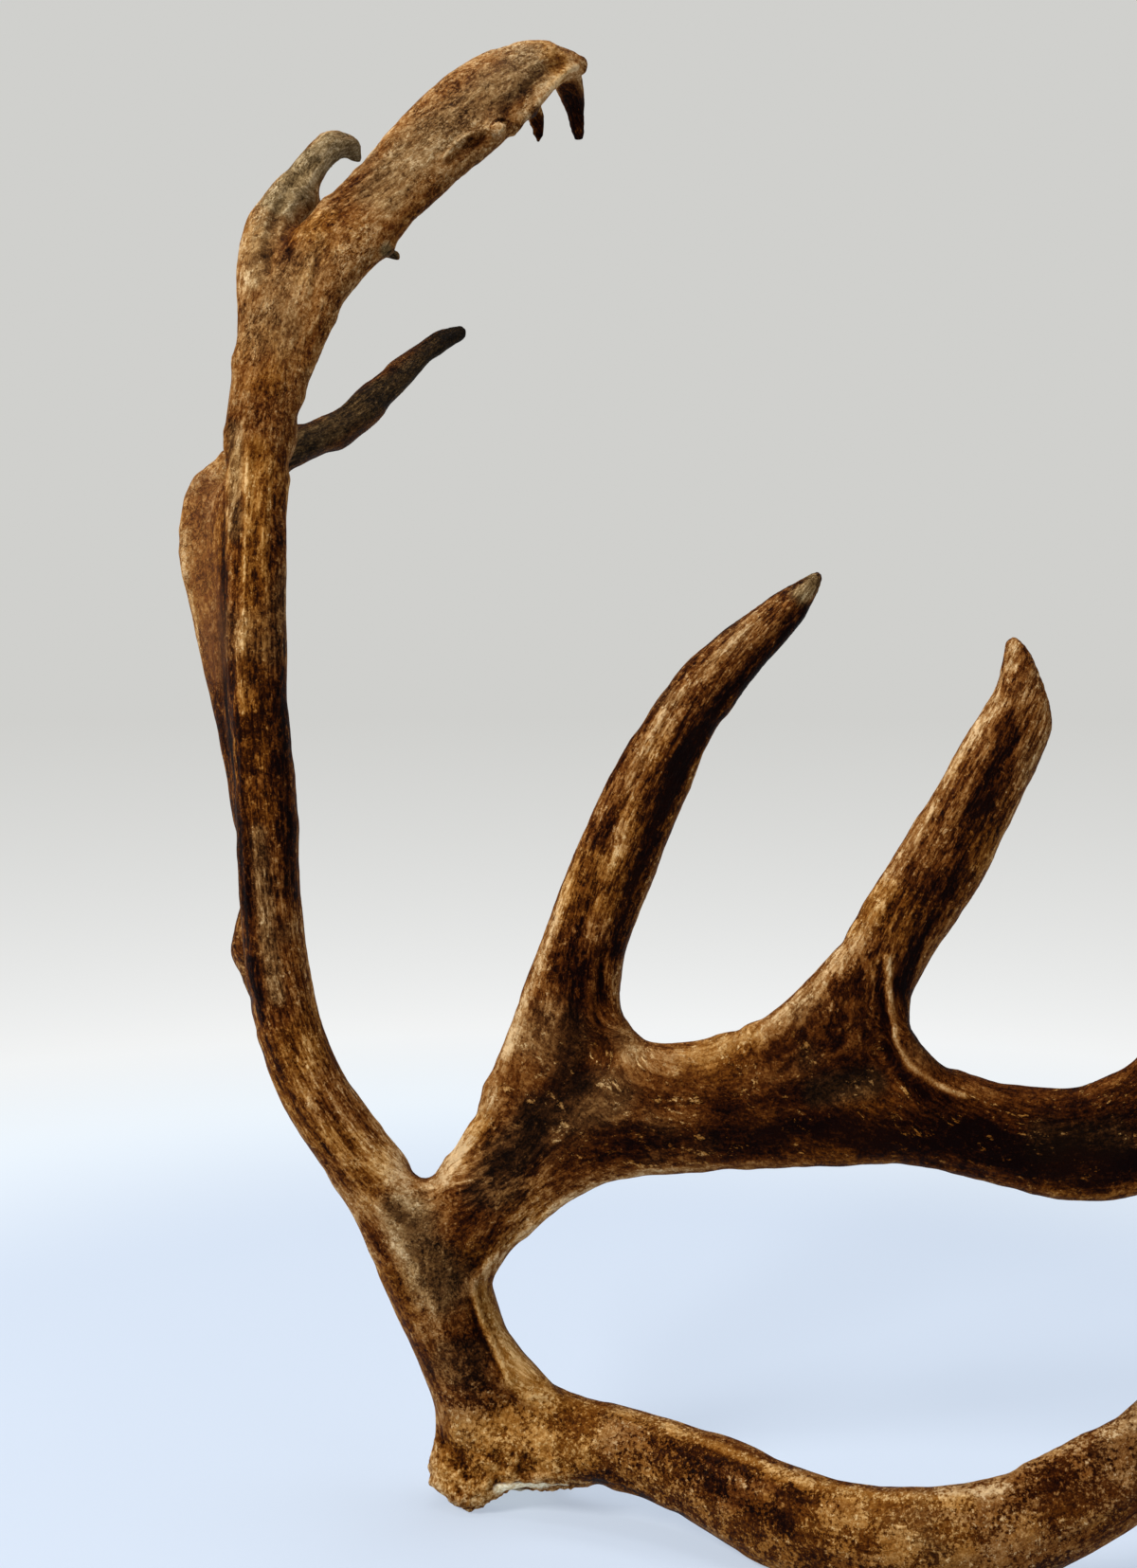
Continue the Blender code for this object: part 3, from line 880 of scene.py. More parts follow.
def reshaped(skin, normals):
    """The smooth skin's points, with its outline corrected and some hollows filled."""
    pixels, sight = picture_place(skin.points)
    edge_on = 1.0 - along(normals, sight) ** 2
    rise = np.full(len(pixels), SKIN_RISE)
    for height, width, *line in SWELLS:
        distance = distance_to_line(pixels, in_pairs(line), BELL_REACH * width) / width
        rise += height * edge_on * bell(distance)
    points = skin.points + normals * (rise * MM)[:, None]
    for right, up, width, pixel in PULLS:
        distance = np.linalg.norm(pixels - np.array(pixel), axis=1) / width
        points += bell(distance)[:, None] * np.array([right, 0.0, up]) * MM
    filled = np.zeros(len(points))
    for strength, width, *line in FILLED:
        distance = distance_to_line(pixels, in_pairs(line), FILL_REACH * width) / width
        filled = np.maximum(filled, strength * (1.0 - ramp(np.minimum(distance, FAR), *FILL_FADE)))
    for _ in range(FILL_ROUNDS):
        even = skin.blur_over(points, FILL_BLUR)
        sunk = ramp(along(even - points, normals) / MM, 0.0, FILL_DEPTH)
        points += (even - points) * (filled * sunk)[:, None]
    return eased(skin, points, RESHAPED_PASSES)


def base_tone(skin, caster):
    """Each stretch's tone, blended into the next."""
    total = np.zeros(len(skin.points))
    weights = np.zeros(len(skin.points))
    for tone, *pixels in TONES:
        distance = distance_to_line(skin.points, caster.line(pixels), TONE_REACH) / MM
        weight = (distance + TONE_CORE) ** TONE_FALL
        total += weight * tone
        weights += weight
    return total / weights


# The fine relief's heights and sizes in millimetres. Thin tips have less of it than thick limbs,
# and bark-like creases start on the upper beam, between two heights from the ground.
LUMP_HEIGHT = 0.9
LUMP_SIZE = 34.0
FLUTE_HEIGHT = 0.9
LINE_DEPTH = 0.45
TIP_SHARE = 0.2
TIP_RADII = (5.0, 11.0)
BARK_HEIGHT = 0.8
BARK_WIDTH = 4.5
BARK_LENGTH = 26.0
BARK_MIDDLE = 0.35
BARK_BEND = 0.35
BARK_STARTS = (330.0, 760.0)

# The burr: its middle, the heights and distances over which it ends, and its relief
BURR_MIDDLE = (12.0, 15.0)
BURR_TOP = (24.0, 66.0)
BURR_EDGE = (62.0, 84.0)
BURR_BEND = 3.0
KNOB_HEIGHT = 5.0
KNOB_SIZE = 10.0
SMALL_KNOB_HEIGHT = 1.6
SMALL_KNOB_SIZE = 4.5
KNOB_MIDDLE = 0.6
GRIT_HEIGHT = 0.9
GRIT_SIZE = 2.6
BURR_EVENED = 0.7

# The pale seal under the burr: its middle, half widths, edge, facing and height
SEAL_MIDDLE = (31.0, 17.0)
SEAL_HALF_WIDTHS = (27.0, 25.0)
SEAL_EDGE = 0.06
SEAL_EDGE_STRAY = 0.01
SEAL_FACING = (0.15, 0.3)
SEAL_TOP = (12.0, 15.0)
SEAL_STRAY = 2.5
SEAL_STRAY_SIZE = 5.0
SEAL_EVENED = 0.8

# Paler on bulges with wear, and darker in hollows as painted shade: what doesn't count yet, the limits,
# and the radii where they start
BULGE_START = 0.35
BULGE_LIMITS = (-1.0, 1.5)
BULGE_RADII = (3.0, 14.0)


def relief(skin, growth, caster):
    """The height of the fine surface over the smooth one, in millimetres."""
    place = skin.points / MM
    tip = ramp(growth.radius, *TIP_RADII)
    flutes = grain_noise(growth, width=8.0, length=130.0, seed=23, layers=2)
    threads = grain_noise(growth, width=3.2, length=60.0, seed=31, layers=2)
    height = LUMP_HEIGHT * layered_noise(place / LUMP_SIZE, seed=11, layers=3)
    height += (TIP_SHARE + (1.0 - TIP_SHARE) * tip) * (FLUTE_HEIGHT * flutes - LINE_DEPTH * np.abs(threads))
    bent = growth.across / BARK_WIDTH + BARK_BEND * warp(place, size=9.0, seed=90)
    bark = np.abs(layered_noise(np.column_stack([bent, growth.way / BARK_LENGTH]), seed=37, layers=2))
    height += BARK_HEIGHT * tip * (BARK_MIDDLE - bark) * ramp(place[:, 2], *BARK_STARTS)
    for _, width, rise, *pixels in RIDGES:
        reach = BELL_REACH * width * MM
        distance = distance_to_line(skin.points, caster.line(pixels), reach) / (width * MM)
        height += rise * bell(distance)
    return height


def burr_mask(place):
    """1 on the burr and 0 above it."""
    out = np.hypot(place[:, 0] - BURR_MIDDLE[0], place[:, 1] - BURR_MIDDLE[1])
    return (1.0 - ramp(place[:, 2], *BURR_TOP)) * (1.0 - ramp(out, *BURR_EDGE))


def burr_relief(place, mask):
    """Knobs, flakes and pits round the burr."""
    bent = place + BURR_BEND * warp(place, size=9.0, seed=40)
    knobs = 1.0 - np.abs(lattice_noise(bent / KNOB_SIZE, seed=51))
    small = 1.0 - np.abs(lattice_noise(bent / SMALL_KNOB_SIZE, seed=55))
    grit = layered_noise(place / GRIT_SIZE, seed=61, layers=2)
    return mask * (KNOB_HEIGHT * (knobs - KNOB_MIDDLE) + SMALL_KNOB_HEIGHT * (small - KNOB_MIDDLE)
                   + GRIT_HEIGHT * grit)


def seal_mask(place, normals):
    """1 on the pale bone under the burr."""
    ragged = SEAL_STRAY * layered_noise(place / SEAL_STRAY_SIZE, seed=71, layers=2)
    out = np.hypot((place[:, 0] - SEAL_MIDDLE[0]) / SEAL_HALF_WIDTHS[0],
                   (place[:, 1] - SEAL_MIDDLE[1]) / SEAL_HALF_WIDTHS[1])
    inside = ramp(1.0 - out, 0.0, SEAL_EDGE + SEAL_EDGE_STRAY * ragged)
    return (inside * ramp(-normals[:, 2], *SEAL_FACING)
            * (1.0 - ramp(place[:, 2] + ragged, *SEAL_TOP)))


def paint(skin, growth, caster):
    """How far each kind of stain, wear, painted shade or painted highlight covers each point."""
    stray = grain_noise(growth, width=7.0, length=26.0, seed=81, layers=3)
    covers = {}
    for kind, strokes in STAINS_AND_SHADING.items():
        cover = np.zeros(len(skin.points))
        for width, strength, *pixels in strokes:
            reach = STROKE_REACH * width * MM
            distance = distance_to_line(skin.points, caster.line(pixels), reach) / (width * MM)
            distance = np.minimum(distance, FAR) + STROKE_STRAY * stray
            cover = np.maximum(cover, strength * (1.0 - ramp(distance, *STROKE_FADE)))
        covers[kind] = cover
    return covers


def dressed_skin(nodes, caps):
    """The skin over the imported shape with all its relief, and the values that its material reads."""
    shape = whole_shape(nodes, caps)
    skin = without_facets(shape, SKIN_VOXEL)
    growth = Growth(shape, skin)
    skin.points = reshaped(skin, skin.normals())
    normals = skin.normals()
    caster = Caster(skin)
    place = skin.points / MM
    burr = burr_mask(place)
    values = paint(skin, growth, caster)
    values["burr"] = burr
    values["tone"] = base_tone(skin, caster)
    values["seal"] = np.clip(np.maximum(values["seal"], seal_mask(place, normals)), 0.0, 1.0)
    height = relief(skin, growth, caster)
    height = height * (1.0 - BURR_EVENED * burr) + burr_relief(place, burr)
    height *= 1.0 - SEAL_EVENED * values["seal"]
    skin.points = skin.points + normals * (height * MM)[:, None]
    skin.points[:, 2] = np.maximum(skin.points[:, 2], 0.0)
    # Bulges over the evened skin: paler with wear on ridges, darker in hollows as painted shade
    evened = skin.blur_over(skin.points, BULGE_BLUR)
    values["whole_normal"] = skin.normals()
    bulge = along(skin.points - evened, values["whole_normal"]) / MM
    values["bulge"] = np.clip(bulge - BULGE_START, *BULGE_LIMITS) * ramp(growth.radius, *BULGE_RADII)
    values["across"] = growth.across
    values["way"] = growth.way
    skin.drop_helper()
    return skin, values


# The skin's pieces, one for each node

# The property and the width of each kind of value on a mesh's points
VALUE_KINDS = {"FLOAT": ("value", 1), "FLOAT_VECTOR": ("vector", 3)}


def write_values(mesh, values):
    """Stores arrays on the mesh's points for its material to read."""
    for name, array in values.items():
        kind = "FLOAT" if array.ndim == 1 else "FLOAT_VECTOR"
        layer = mesh.attributes.new(name, kind, "POINT")
        layer.data.foreach_set(VALUE_KINDS[kind][0], array.astype(np.float32).ravel())


def slice_at_cuts(mesh, cuts):
    """Gives the skin a clean line of edges round each saw cut."""
    sliced = bmesh.new()
    sliced.from_mesh(mesh)
    for cut in cuts:
        near = []
        for face in sliced.faces:
            off = face.calc_center_median() - cut.centre
            if off.length < cut.radius + CUT_MARGIN and abs(off.dot(cut.facing)) < SLICE_DEPTH:
                near.append(face)
        edges = list({edge for face in near for edge in face.edges})
        corners = list({corner for face in near for corner in face.verts})
        bmesh.ops.bisect_plane(sliced, geom=near + edges + corners, dist=SLICE_TOLERANCE,
                               plane_co=cut.centre, plane_no=cut.facing)
    sliced.to_mesh(mesh)
    sliced.free()


def share_faces(mesh, nodes, caps, cuts):
    """The name of the node that each face of the skin stands for, as an index into a sorted list."""
    names = sorted(nodes)
    points, faces, owners = [], [], []
    for index, name in enumerate(names):
        left_out = {i for (owner, _), found in caps.items() if owner == name for i in found}
        first = len(points)
        points.extend(v.co for v in nodes[name].data.vertices)
        for face in nodes[name].data.polygons:
            if face.index not in left_out:
                faces.append([first + i for i in face.vertices])
                owners.append(index)
    tree = BVHTree.FromPolygons(points, faces)
    centres = read_all(mesh.polygons, "center", 3)
    shares = np.array([owners[tree.find_nearest(centre)[2]] for centre in centres])
    for cut in cuts:
        mine, other = (names.index(name) for name in cut.names)
        off = centres - np.array(cut.centre)
        side = off @ np.array(cut.facing)
        close = (np.abs(side) < CUT_MARGIN) & (np.linalg.norm(off, axis=1) < cut.radius + CUT_MARGIN)
        close &= (shares == mine) | (shares == other)
        shares[close & (side < 0)] = mine
        shares[close & (side >= 0)] = other
    return names, shares


def cut_piece(mesh, name, chosen, values):
    """A closed piece made of the chosen faces, with flat ends where the skin was cut."""
    piece_mesh = part_of_mesh(mesh, name, chosen, values)
    part = bmesh.new()
    part.from_mesh(piece_mesh)
    open_edges = [edge for edge in part.edges if edge.is_boundary]
    ends = bmesh.ops.holes_fill(part, edges=open_edges, sides=0)["faces"]
    for face in part.faces:
        face.smooth = True
    for face in ends:
        face.smooth = False
    part.to_mesh(piece_mesh)
    part.free()
    return piece_mesh


def part_of_mesh(mesh, name, chosen, values):
    """A copy of the chosen faces, with the values of their points."""
    starts = read_numbers(mesh.polygons, "loop_start", 1).ravel()[chosen]
    totals = read_numbers(mesh.polygons, "loop_total", 1).ravel()[chosen]
    corners = read_numbers(mesh.loops, "vertex_index", 1).ravel()
    first = np.concatenate([[0], np.cumsum(totals)[:-1]])
    loops = np.arange(totals.sum()) - np.repeat(first, totals) + np.repeat(starts, totals)
    used, renumbered = np.unique(corners[loops], return_inverse=True)
    part = bpy.data.meshes.new(name)
    part.vertices.add(len(used))
    part.loops.add(len(loops))
    part.polygons.add(len(totals))
    part.vertices.foreach_set("co", values["place"][used].astype(np.float32).ravel())
    part.loops.foreach_set("vertex_index", renumbered.astype(np.int32))
    part.polygons.foreach_set("loop_start", first.astype(np.int32))
    part.update(calc_edges=True)
    part.validate()
    write_values(part, {key: array[used] for key, array in values.items() if key != "place"})
    return part


def read_values(mesh):
    """All the arrays stored on the mesh's points, and the points' places."""
    values = {"place": read_all(mesh.vertices, "co", 3)}
    for layer in mesh.attributes:
        if layer.domain == "POINT" and layer.data_type in VALUE_KINDS and layer.name != "position":
            found = read_all(layer.data, *VALUE_KINDS[layer.data_type])
            values[layer.name] = found.ravel() if layer.data_type == "FLOAT" else found
    return values


def keep_normals(mesh):
    """Shades the piece with the whole skin's normals, so that its joints don't show."""
    stored = read_all(mesh.attributes["whole_normal"].data, "vector", 3)
    normals = stored[read_numbers(mesh.loops, "vertex_index", 1).ravel()]
    for face in mesh.polygons:
        if not face.use_smooth:
            normals[list(face.loop_indices)] = np.array(face.normal)
    mesh.normals_split_custom_set(normals.tolist())
    mesh.attributes.remove(mesh.attributes["whole_normal"])


# The finish

# Bone's colours at even steps from black patina to pale bone, in three casts
BROWN_BONE = [
    (0.0030, 0.0003, 0.0001), (0.0240, 0.0046, 0.0004), (0.0870, 0.0225, 0.0024),
    (0.2120, 0.0830, 0.0178), (0.3800, 0.2100, 0.0800), (0.6200, 0.4200, 0.2200),
]
GOLD_BONE = [
    (0.0070, 0.0012, 0.0002), (0.0320, 0.0070, 0.0004), (0.1200, 0.0345, 0.0026),
    (0.2500, 0.0980, 0.0145), (0.4200, 0.2100, 0.0560), (0.6600, 0.4100, 0.1700),
]
GREY_BONE = [
    (0.0055, 0.0030, 0.0009), (0.0230, 0.0125, 0.0040), (0.0800, 0.0455, 0.0160),
    (0.1700, 0.1070, 0.0440), (0.3200, 0.2230, 0.1080), (0.5600, 0.4350, 0.2600),
]
RED_BONE = (0.150, 0.060, 0.026)
CREAM = (0.950, 0.850, 0.600)
CREAM_SHADE = (0.620, 0.460, 0.240)


class Shader:
    """Short ways to add and join nodes."""

    def __init__(self, material):
        self.tree = material.node_tree

    def node(self, kind, inputs=None, **settings):
        made = self.tree.nodes.new(kind)
        for name, value in settings.items():
            setattr(made, name, value)
        for name, value in (inputs or {}).items():
            self.put(made.inputs[name], value)
        return made

    def put(self, socket, value):
        if isinstance(value, bpy.types.NodeSocket):
            self.tree.links.new(value, socket)
        elif socket.type == "RGBA":
            socket.default_value = (*value, 1.0)
        else:
            socket.default_value = value

    def stored(self, name, part="Fac"):
        return self.node("ShaderNodeAttribute", attribute_name=name).outputs[part]

    def math(self, operation, *values):
        return self.node("ShaderNodeMath", dict(enumerate(values)), operation=operation).outputs[0]

    def add(self, *terms):
        total = terms[0]
        for term in terms[1:]:
            total = self.math("ADD", total, term)
        return total

    def scaled(self, value, factor, shift=0.0):
        return self.math("MULTIPLY_ADD", value, factor, shift)

    def ease(self, value, low, high):
        """0 at low and 1 at high."""
        inputs = {"Value": value, "From Min": low, "From Max": high}
        return self.node("ShaderNodeMapRange", inputs, interpolation_type="SMOOTHSTEP").outputs["Result"]

    def mix(self, factor, first, second):
        """The first colour at factor 0 and the second at 1."""
        return self.node("ShaderNodeMix", {0: factor, 6: first, 7: second}, data_type="RGBA",
                         clamp_factor=True).outputs[2]

    def colours(self, tone, stops):
        """The colour at a tone from 0 to 1, between evenly spaced colours."""
        made = self.node("ShaderNodeValToRGB", {"Fac": tone})
        points = made.color_ramp.elements
        for index, colour in enumerate(stops):
            at = index / (len(stops) - 1)
            point = points[index] if index < 2 else points.new(at)
            point.position = at
            point.color = (*colour, 1.0)
        return made.outputs["Color"]

    def noise(self, vector, scale, detail, roughness, distortion=0.0, w=None):
        inputs = {"Vector": vector, "Scale": scale, "Detail": detail, "Roughness": roughness,
                  "Distortion": distortion}
        if w is not None:
            inputs["W"] = w
        kind = "3D" if w is None else "4D"
        return self.node("ShaderNodeTexNoise", inputs, noise_dimensions=kind).outputs["Fac"]

    def streak(self, width, length, detail, roughness, distortion=0.0):
        """Noise drawn out along the grain, with one streak's width and length in millimetres."""
        way = self.scaled(self.stored("way"), width / length)
        across = self.stored("across", "Vector")
        return self.noise(across, 1.0 / width, detail, roughness, distortion, way)


# Noise patterns: scale, detail, roughness and distortion
SPOTS = {
    "blotches": (26.0, 3.0, 0.6, 0.6),
    "clouds": (14.0, 2.0, 0.5),
    "spread": (36.0, 8.0, 0.68, 0.5),
    "dry": (40.0, 2.0, 0.5),
    "specks": (420.0, 4.0, 0.74),
    "grains": (620.0, 3.0, 0.70),
    "chips": (230.0, 5.0, 0.72),
    "crumbs": (340.0, 4.0, 0.74),
    "pits": (430.0, 3.0, 0.62),
    "grit": (300.0, 4.0, 0.7),
    "cream": (420.0, 4.0, 0.65),
}

# Patterns along the grain: width and length in millimetres, detail, roughness and distortion
STREAKS = {
    "streaks": (4.5, 60.0, 3.0, 0.55),
    "bands": (10.0, 170.0, 2.0, 0.5),
    "patina": (7.0, 26.0, 7.0, 0.72),
    "threads": (1.4, 42.0, 3.0, 0.6),
    "fibres": (0.8, 14.0, 2.0, 0.5),
    "flakes": (2.2, 6.0, 5.0, 0.72),
    "flecks": (2.6, 6.5, 6.0, 0.76),
    "bark": (3.2, 10.0, 5.0, 0.68, 0.8),
    "cracks": (5.5, 22.0, 3.0, 0.6, 0.6),
    "wrinkles": (4.0, 11.0, 4.0, 0.65, 1.2),
    "pale_lines": (4.5, 13.0, 4.0, 0.62, 1.4),
}

# Crackle is made of specks, thicker where these are high
CRACKLE_PARTS = {"spread": 1.6, "tone": 0.5}

# Patterns that are only thin lines where the noise crosses its middle: outer and inner edge
THIN_LINES = {"cracks": (0.026, 0.004), "wrinkles": (0.040, 0.006), "pale_lines": (0.034, 0.006)}

# Patterns with clear edges: where they turn from 0 to 1
EDGES = {
    "patina": (0.48, 0.525),
    "threads": (0.42, 0.58),
    "flakes": (0.44, 0.55),
    "flecks": (0.575, 0.595),
    "crackle": (1.43, 1.51),
    "chips": (0.585, 0.610),
    "crumbs": (0.560, 0.585),
    "pits": (0.41, 0.35),
    "cream": (0.35, 0.6),
}

# Patterns that show only where another one lies between two values, from none to all
SHOWN_WHERE = {
    "cracks": ("blotches", 0.58, 0.44),
    "wrinkles": ("dry", 0.45, 0.56),
    "pale_lines": ("blotches", 0.45, 0.56),
    "flecks": ("spread", 0.46, 0.52),
}

# How much each value lightens the bone: stains, wear, painted shade and highlights, and bulges
STAIN_AND_SHADE_STRENGTHS = {"tone": 1.0, "wear_and_highlight": 0.20, "dark": -0.22, "pale": 0.25, "bulge": 0.14}

# How strongly each pattern lightens plain bone, and how much is added to that on calm, patchy and
# mottled bone. These go from darker to paler than the bone's tone.
CENTRED_PATTERNS = {
    "streaks": (0.45, -0.19, -0.19, -0.27),
    "bands": (0.34, -0.06, -0.06, -0.14),
    "blotches": (0.34, 0.0, -0.12, 0.06),
    "patina": (0.22, -0.14, -0.18, -0.14),
    "threads": (0.14, -0.11, -0.11, -0.08),
    "fibres": (0.22, -0.16, -0.16, -0.08),
    "flakes": (0.22, -0.08, -0.12, -0.10),
    "crackle": (0.0, 0.05, 0.22),
    "spread": (0.0, 0.0, 0.10, 0.35),
    "specks": (0.10, 0.20, 0.50, 0.30),
    "bark": (0.0, 0.78),
    "grains": (0.50,),
}

# The same for marks that only darken or only lighten the bone where they are
MARK_PATTERNS = {
    "wrinkles": (0.0, -0.21),
    "cracks": (-0.07, -0.05, 0.02, 0.03),
    "pale_lines": (0.05, 0.13, 0.0, -0.02),
    "chips": (0.24, -0.12, 0.06, -0.12),
    "crumbs": (0.0, 0.0, 0.10, 0.06),
    "flecks": (0.0, 0.0, 0.0, 0.48),
    "pits": (-0.14,),
}

# The same for the height of the fine surface
PATTERN_HEIGHTS = {
    "flakes": (0.35,),
    "patina": (0.25,),
    "cracks": (-0.45,),
    "fibres": (0.25,),
    "grains": (0.35,),
    "chips": (0.3,),
    "pits": (-0.3,),
    "bark": (0.0, 1.6),
    "specks": (0.0, 0.5),
    "wrinkles": (0.0, -1.2),
    "pale_lines": (0.0, 0.7),
    "crackle": (0.0, 0.1, 0.35),
    "flecks": (0.0, 0.0, 0.0, 0.5),
}
ZONES = ("calm", "patchy", "mottled")

# The burr's grit, and where the bone is golden, grey or red without a stain: limits and strength
BURR_GRIT = 1.3
GOLD_SPECKS = 0.4
GOLD_LIMITS = (0.74, 0.84)
GOLD_SHARE = 0.7
GREY_LIMITS = (0.45, 0.33)
GREY_SHARE = 0.3
RED_SHARE = 0.4

# Gloss and bump: pale bone is rougher than dark bone
ROUGHNESS = {"From Min": 0.1, "From Max": 0.9, "To Min": 0.42, "To Max": 0.68}
SPECULAR = 0.02
BUMP_STRENGTH = 0.8
BUMP_DISTANCE = 0.8 * MM


def bone_patterns(s, place):
    """All the patterns, each from 0 to 1."""
    found = {name: s.noise(place, *settings) for name, settings in SPOTS.items()}
    found.update({name: s.streak(*settings) for name, settings in STREAKS.items()})
    spread = s.scaled(found["spread"], CRACKLE_PARTS["spread"])
    found["crackle"] = s.add(found["specks"], spread, s.scaled(s.stored("tone"), CRACKLE_PARTS["tone"]))
    for name, limits in THIN_LINES.items():
        found[name] = s.ease(s.math("ABSOLUTE", centred(s, found[name])), *limits)
    for name, limits in EDGES.items():
        found[name] = s.ease(found[name], *limits)
    for name, (other, none, full) in SHOWN_WHERE.items():
        found[name] = s.math("MULTIPLY", found[name], s.ease(found[other], none, full))
    return found


def centred(s, pattern, strength=1.0):
    """The pattern from minus half its strength to plus half of it."""
    return s.scaled(pattern, strength, -0.5 * strength)


def zoned(s, term, strengths):
    """The term at its strength on plain bone, changed on calm, patchy and mottled bone."""
    plain, *changes = strengths
    strength = plain
    for zone, change in zip(ZONES, changes):
        if change:
            strength = s.math("MULTIPLY_ADD", s.stored(zone), change, strength)
    return s.math("MULTIPLY", term, strength)


def bone_tone(s, patterns):
    """How pale the bone is, from 0 for black to 1 for pale bone."""
    terms = [s.scaled(s.stored(name), strength) for name, strength in STAIN_AND_SHADE_STRENGTHS.items()]
    for name, strengths in CENTRED_PATTERNS.items():
        terms.append(zoned(s, centred(s, patterns[name]), strengths))
    for name, strengths in MARK_PATTERNS.items():
        terms.append(zoned(s, patterns[name], strengths))
    terms.append(s.math("MULTIPLY", s.stored("burr"), centred(s, patterns["grit"], BURR_GRIT)))
    return s.add(*terms)


def bone_colour(s, patterns, tone):
    """Brown bone with golden, grey and red places, and cream bone on the seal."""
    clouds = patterns["clouds"]
    gilded = s.math("MULTIPLY_ADD", patterns["specks"], GOLD_SPECKS, clouds)
    golden = s.math("MAXIMUM", s.stored("gold"), s.scaled(s.ease(gilded, *GOLD_LIMITS), GOLD_SHARE))
    golden = s.math("MAXIMUM", golden, s.math("MULTIPLY", patterns["flecks"], s.stored("mottled")))
    greyed = s.math("MAXIMUM", s.stored("grey"), s.scaled(s.ease(clouds, *GREY_LIMITS), GREY_SHARE))
    colour = s.colours(tone, BROWN_BONE)
    colour = s.mix(golden, colour, s.colours(tone, GOLD_BONE))
    colour = s.mix(greyed, colour, s.colours(tone, GREY_BONE))
    colour = s.mix(s.scaled(s.stored("red"), RED_SHARE), colour, RED_BONE)
    return s.mix(s.stored("seal"), colour, s.mix(patterns["cream"], CREAM_SHADE, CREAM))


def antler_material():
    """Weathered bone: a dark patina, wearing to tan and pale bone on ridges, rims and tips, with painted
    shade on shaded sides and painted highlights on lit ones.
    """
    material = bpy.data.materials.new("antler_wear_and_painted_shade")
    material.use_nodes = True
    s = Shader(material)
    patterns = bone_patterns(s, s.node("ShaderNodeTexCoord").outputs["Object"])
    tone = bone_tone(s, patterns)
    roughness = s.node("ShaderNodeMapRange", {"Value": tone, **ROUGHNESS}).outputs["Result"]
    heights = [zoned(s, patterns[name], strengths) for name, strengths in PATTERN_HEIGHTS.items()]
    bump = s.node("ShaderNodeBump", {"Strength": BUMP_STRENGTH, "Distance": BUMP_DISTANCE,
                                     "Height": s.add(*heights)})
    surface = material.node_tree.nodes["Principled BSDF"]
    s.put(surface.inputs["Base Color"], bone_colour(s, patterns, tone))
    s.put(surface.inputs["Roughness"], roughness)
    s.put(surface.inputs["Normal"], bump.outputs["Normal"])
    surface.inputs["Specular IOR Level"].default_value = SPECULAR
    return material


# The studio

BACKDROP = (0.63, 0.63, 0.61)
BACKDROP_LOW = (0.90, 0.91, 0.91)
BACKDROP_NEARNESS = (0.11, 0.69)

# The floor fades into the backdrop between two distances from its middle, in metres
FLOOR_COLOUR = (0.66, 0.74, 0.86)
FLOOR_ROUGHNESS = 0.7
FLOOR_MIDDLE = (0.10, 0.0)
FLOOR_RADIUS = 9.0
FLOOR_SIDES = 96
FLOOR_EDGE = (0.95, 1.55)
FLOOR_GLOW = (0.640, 0.735, 0.880)
FLOOR_GLOW_FAR = (0.970, 1.040, 1.080)
FLOOR_GLOW_REACH = (0.60, 1.15)
GLOW_SHARE = 0.6

SURROUND = (0.95, 0.97, 1.0)
SURROUND_STRENGTH = 0.30

# The lamps: place, width in metres, power in watts, colour
LAMPS = {
    "key": ((-1.9, -1.5, 2.1), 1.0, 90.0, (1.0, 0.96, 0.90)),
    "top": ((0.2, 0.3, 2.3), 1.6, 30.0, (0.96, 0.98, 1.0)),
    "fill": ((1.6, -1.4, 0.8), 1.2, 5.0, (0.93, 0.96, 1.0)),
}
LAMP_TARGET = Vector((0.1, 0.0, 0.45))


def make_floor():
    """A pale floor that fades into the pale backdrop, the same from every side."""
    disc = bmesh.new()
    bmesh.ops.create_circle(disc, cap_ends=True, radius=FLOOR_RADIUS, segments=FLOOR_SIDES)
    mesh = bpy.data.meshes.new("floor")
    disc.to_mesh(mesh)
    disc.free()
    floor = new_object("floor", mesh)
    floor.location = (*FLOOR_MIDDLE, 0.0)
    material = bpy.data.materials.new("pale_floor")
    material.use_nodes = True
    s = Shader(material)
    nodes = material.node_tree.nodes
    place = s.node("ShaderNodeTexCoord").outputs["Object"]
    away = s.node("ShaderNodeVectorMath", {0: place}, operation="LENGTH").outputs["Value"]
    surface = nodes["Principled BSDF"]
    s.put(surface.inputs["Base Color"], FLOOR_COLOUR)
    surface.inputs["Roughness"].default_value = FLOOR_ROUGHNESS
    least, most = BACKDROP_NEARNESS
    nearness = s.node("ShaderNodeMapRange", {"Value": s.math("DIVIDE", 1.0, away), "From Min": least,
                                             "From Max": most}).outputs["Result"]
    shine = s.mix(s.ease(away, *FLOOR_GLOW_REACH), FLOOR_GLOW, FLOOR_GLOW_FAR)
    glow = s.node("ShaderNodeEmission", {"Color": shine})
    near = s.node("ShaderNodeMixShader", {0: GLOW_SHARE, 1: surface.outputs[0], 2: glow.outputs[0]})
    far = s.node("ShaderNodeEmission", {"Color": s.mix(nearness, BACKDROP, BACKDROP_LOW)})
    blend = s.node("ShaderNodeMixShader", {0: s.ease(away, *FLOOR_EDGE), 1: near.outputs[0],
                                           2: far.outputs[0]})
    s.put(nodes["Material Output"].inputs["Surface"], blend.outputs[0])
    mesh.materials.append(material)


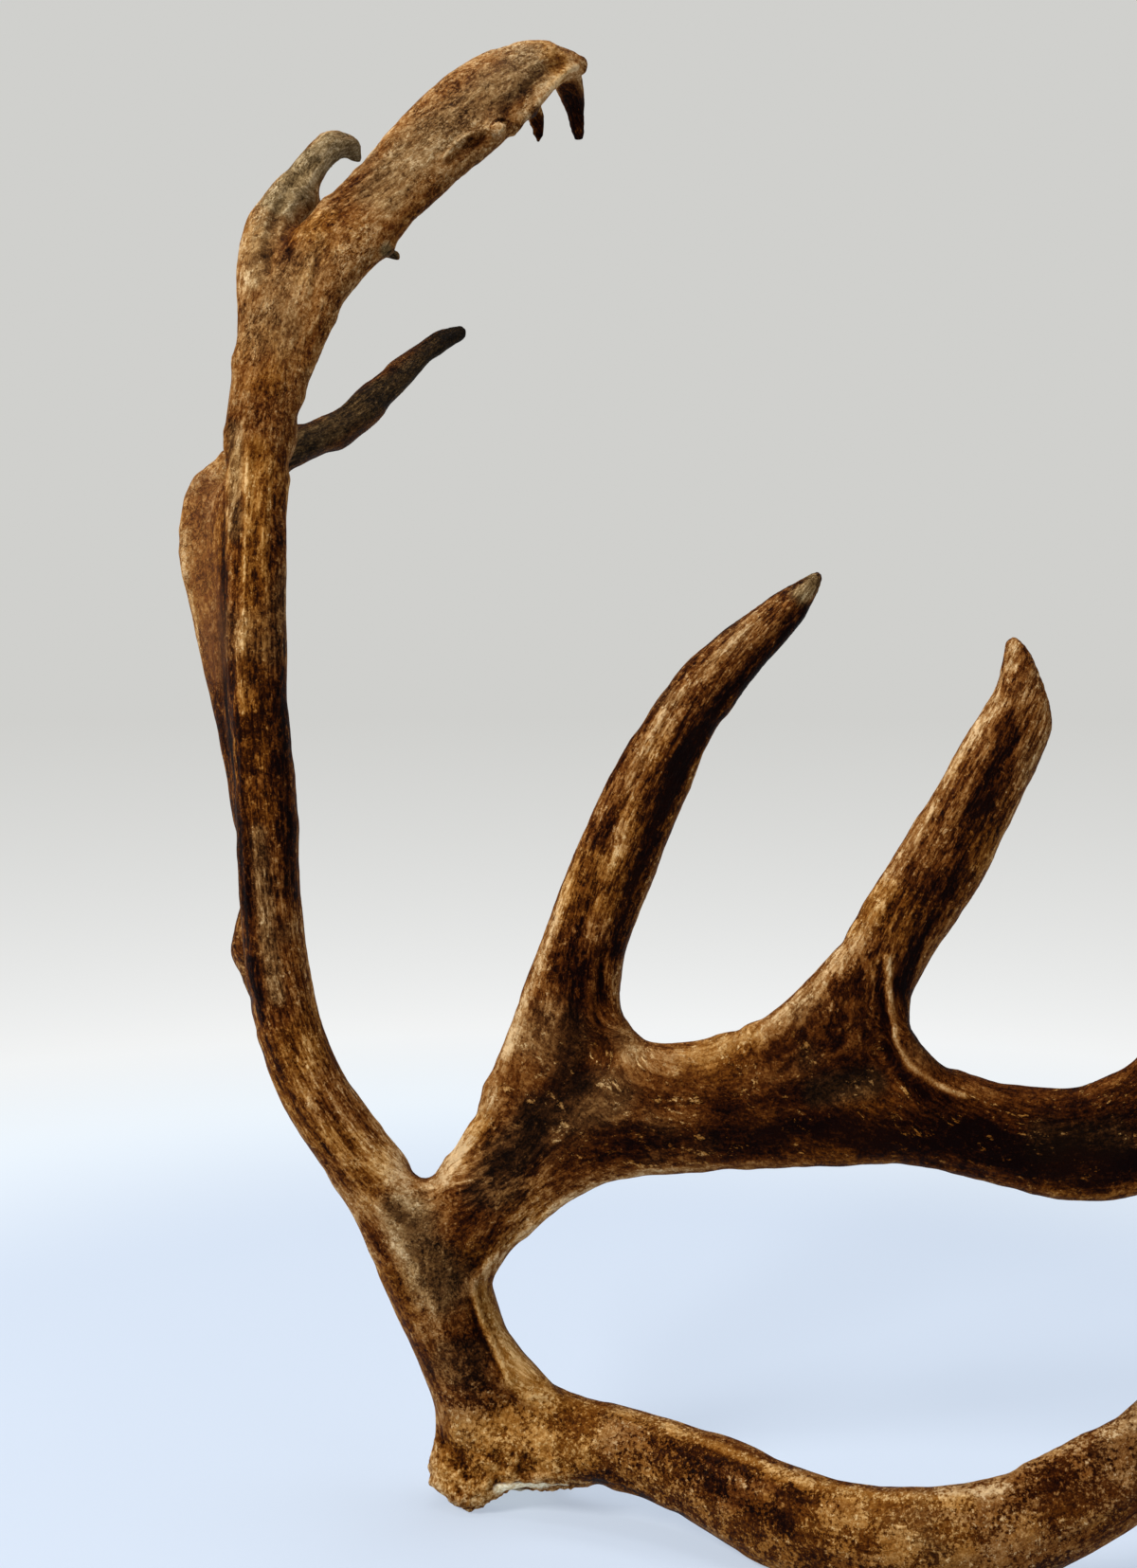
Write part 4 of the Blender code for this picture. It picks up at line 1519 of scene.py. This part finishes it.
def make_world():
    """Soft light from all round, and the backdrop's own colour where the camera sees past the floor."""
    world = bpy.data.worlds.new("studio")
    bpy.context.scene.world = world
    world.use_nodes = True
    s = Shader(world)
    nodes = world.node_tree.nodes
    seen = s.node("ShaderNodeLightPath").outputs["Is Camera Ray"]
    surround = nodes["Background"]
    s.put(surround.inputs["Color"], SURROUND)
    surround.inputs["Strength"].default_value = SURROUND_STRENGTH
    shown = s.node("ShaderNodeBackground", {"Color": BACKDROP, "Strength": 1.0})
    blend = s.node("ShaderNodeMixShader", {0: seen, 1: surround.outputs[0], 2: shown.outputs[0]})
    s.put(nodes["World Output"].inputs["Surface"], blend.outputs[0])


def make_lamp(name, place, width, power, colour):
    lamp = bpy.data.lights.new(name, "AREA")
    lamp.shape = "DISK"
    lamp.size = width
    lamp.energy = power
    lamp.color = colour
    holder = new_object(name, lamp)
    holder.location = place
    holder.rotation_euler = (LAMP_TARGET - Vector(place)).to_track_quat("-Z", "Y").to_euler()


def make_camera():
    lens = bpy.data.cameras.new("camera")
    lens.sensor_width = SENSOR
    lens.lens = SENSOR * FOCAL_PIXELS / FRAME_HEIGHT
    camera = new_object("camera", lens)
    camera.location = CAMERA_PLACE
    camera.rotation_euler = (math.radians(90.0) - CAMERA_PITCH_DOWN, 0.0, 0.0)
    bpy.context.scene.camera = camera


def make_studio():
    make_floor()
    make_world()
    for name, settings in LAMPS.items():
        make_lamp(name, *settings)
    make_camera()
    bpy.context.scene.view_settings.view_transform = "Standard"


def make_pieces(skin, nodes, caps, cuts):
    """One closed piece for each node, which replaces it."""
    names, shares = share_faces(skin.mesh, nodes, caps, cuts)
    stored = read_values(skin.mesh)
    material = antler_material()
    for index, name in enumerate(names):
        mesh = cut_piece(skin.mesh, "antler_" + name, np.nonzero(shares == index)[0], stored)
        keep_normals(mesh)
        mesh.materials.append(material)
        piece = new_object("antler_" + name, mesh)
        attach(piece, "root")
        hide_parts(name)


def main():
    frame, cad_box = begin()
    nodes = frame["nodes"]
    caps = cap_faces(nodes)
    cuts = find_cuts(nodes, caps)
    skin, values = dressed_skin(nodes, caps)
    write_values(skin.mesh, values)
    slice_at_cuts(skin.mesh, cuts)
    make_pieces(skin, nodes, caps, cuts)
    make_studio()


main()
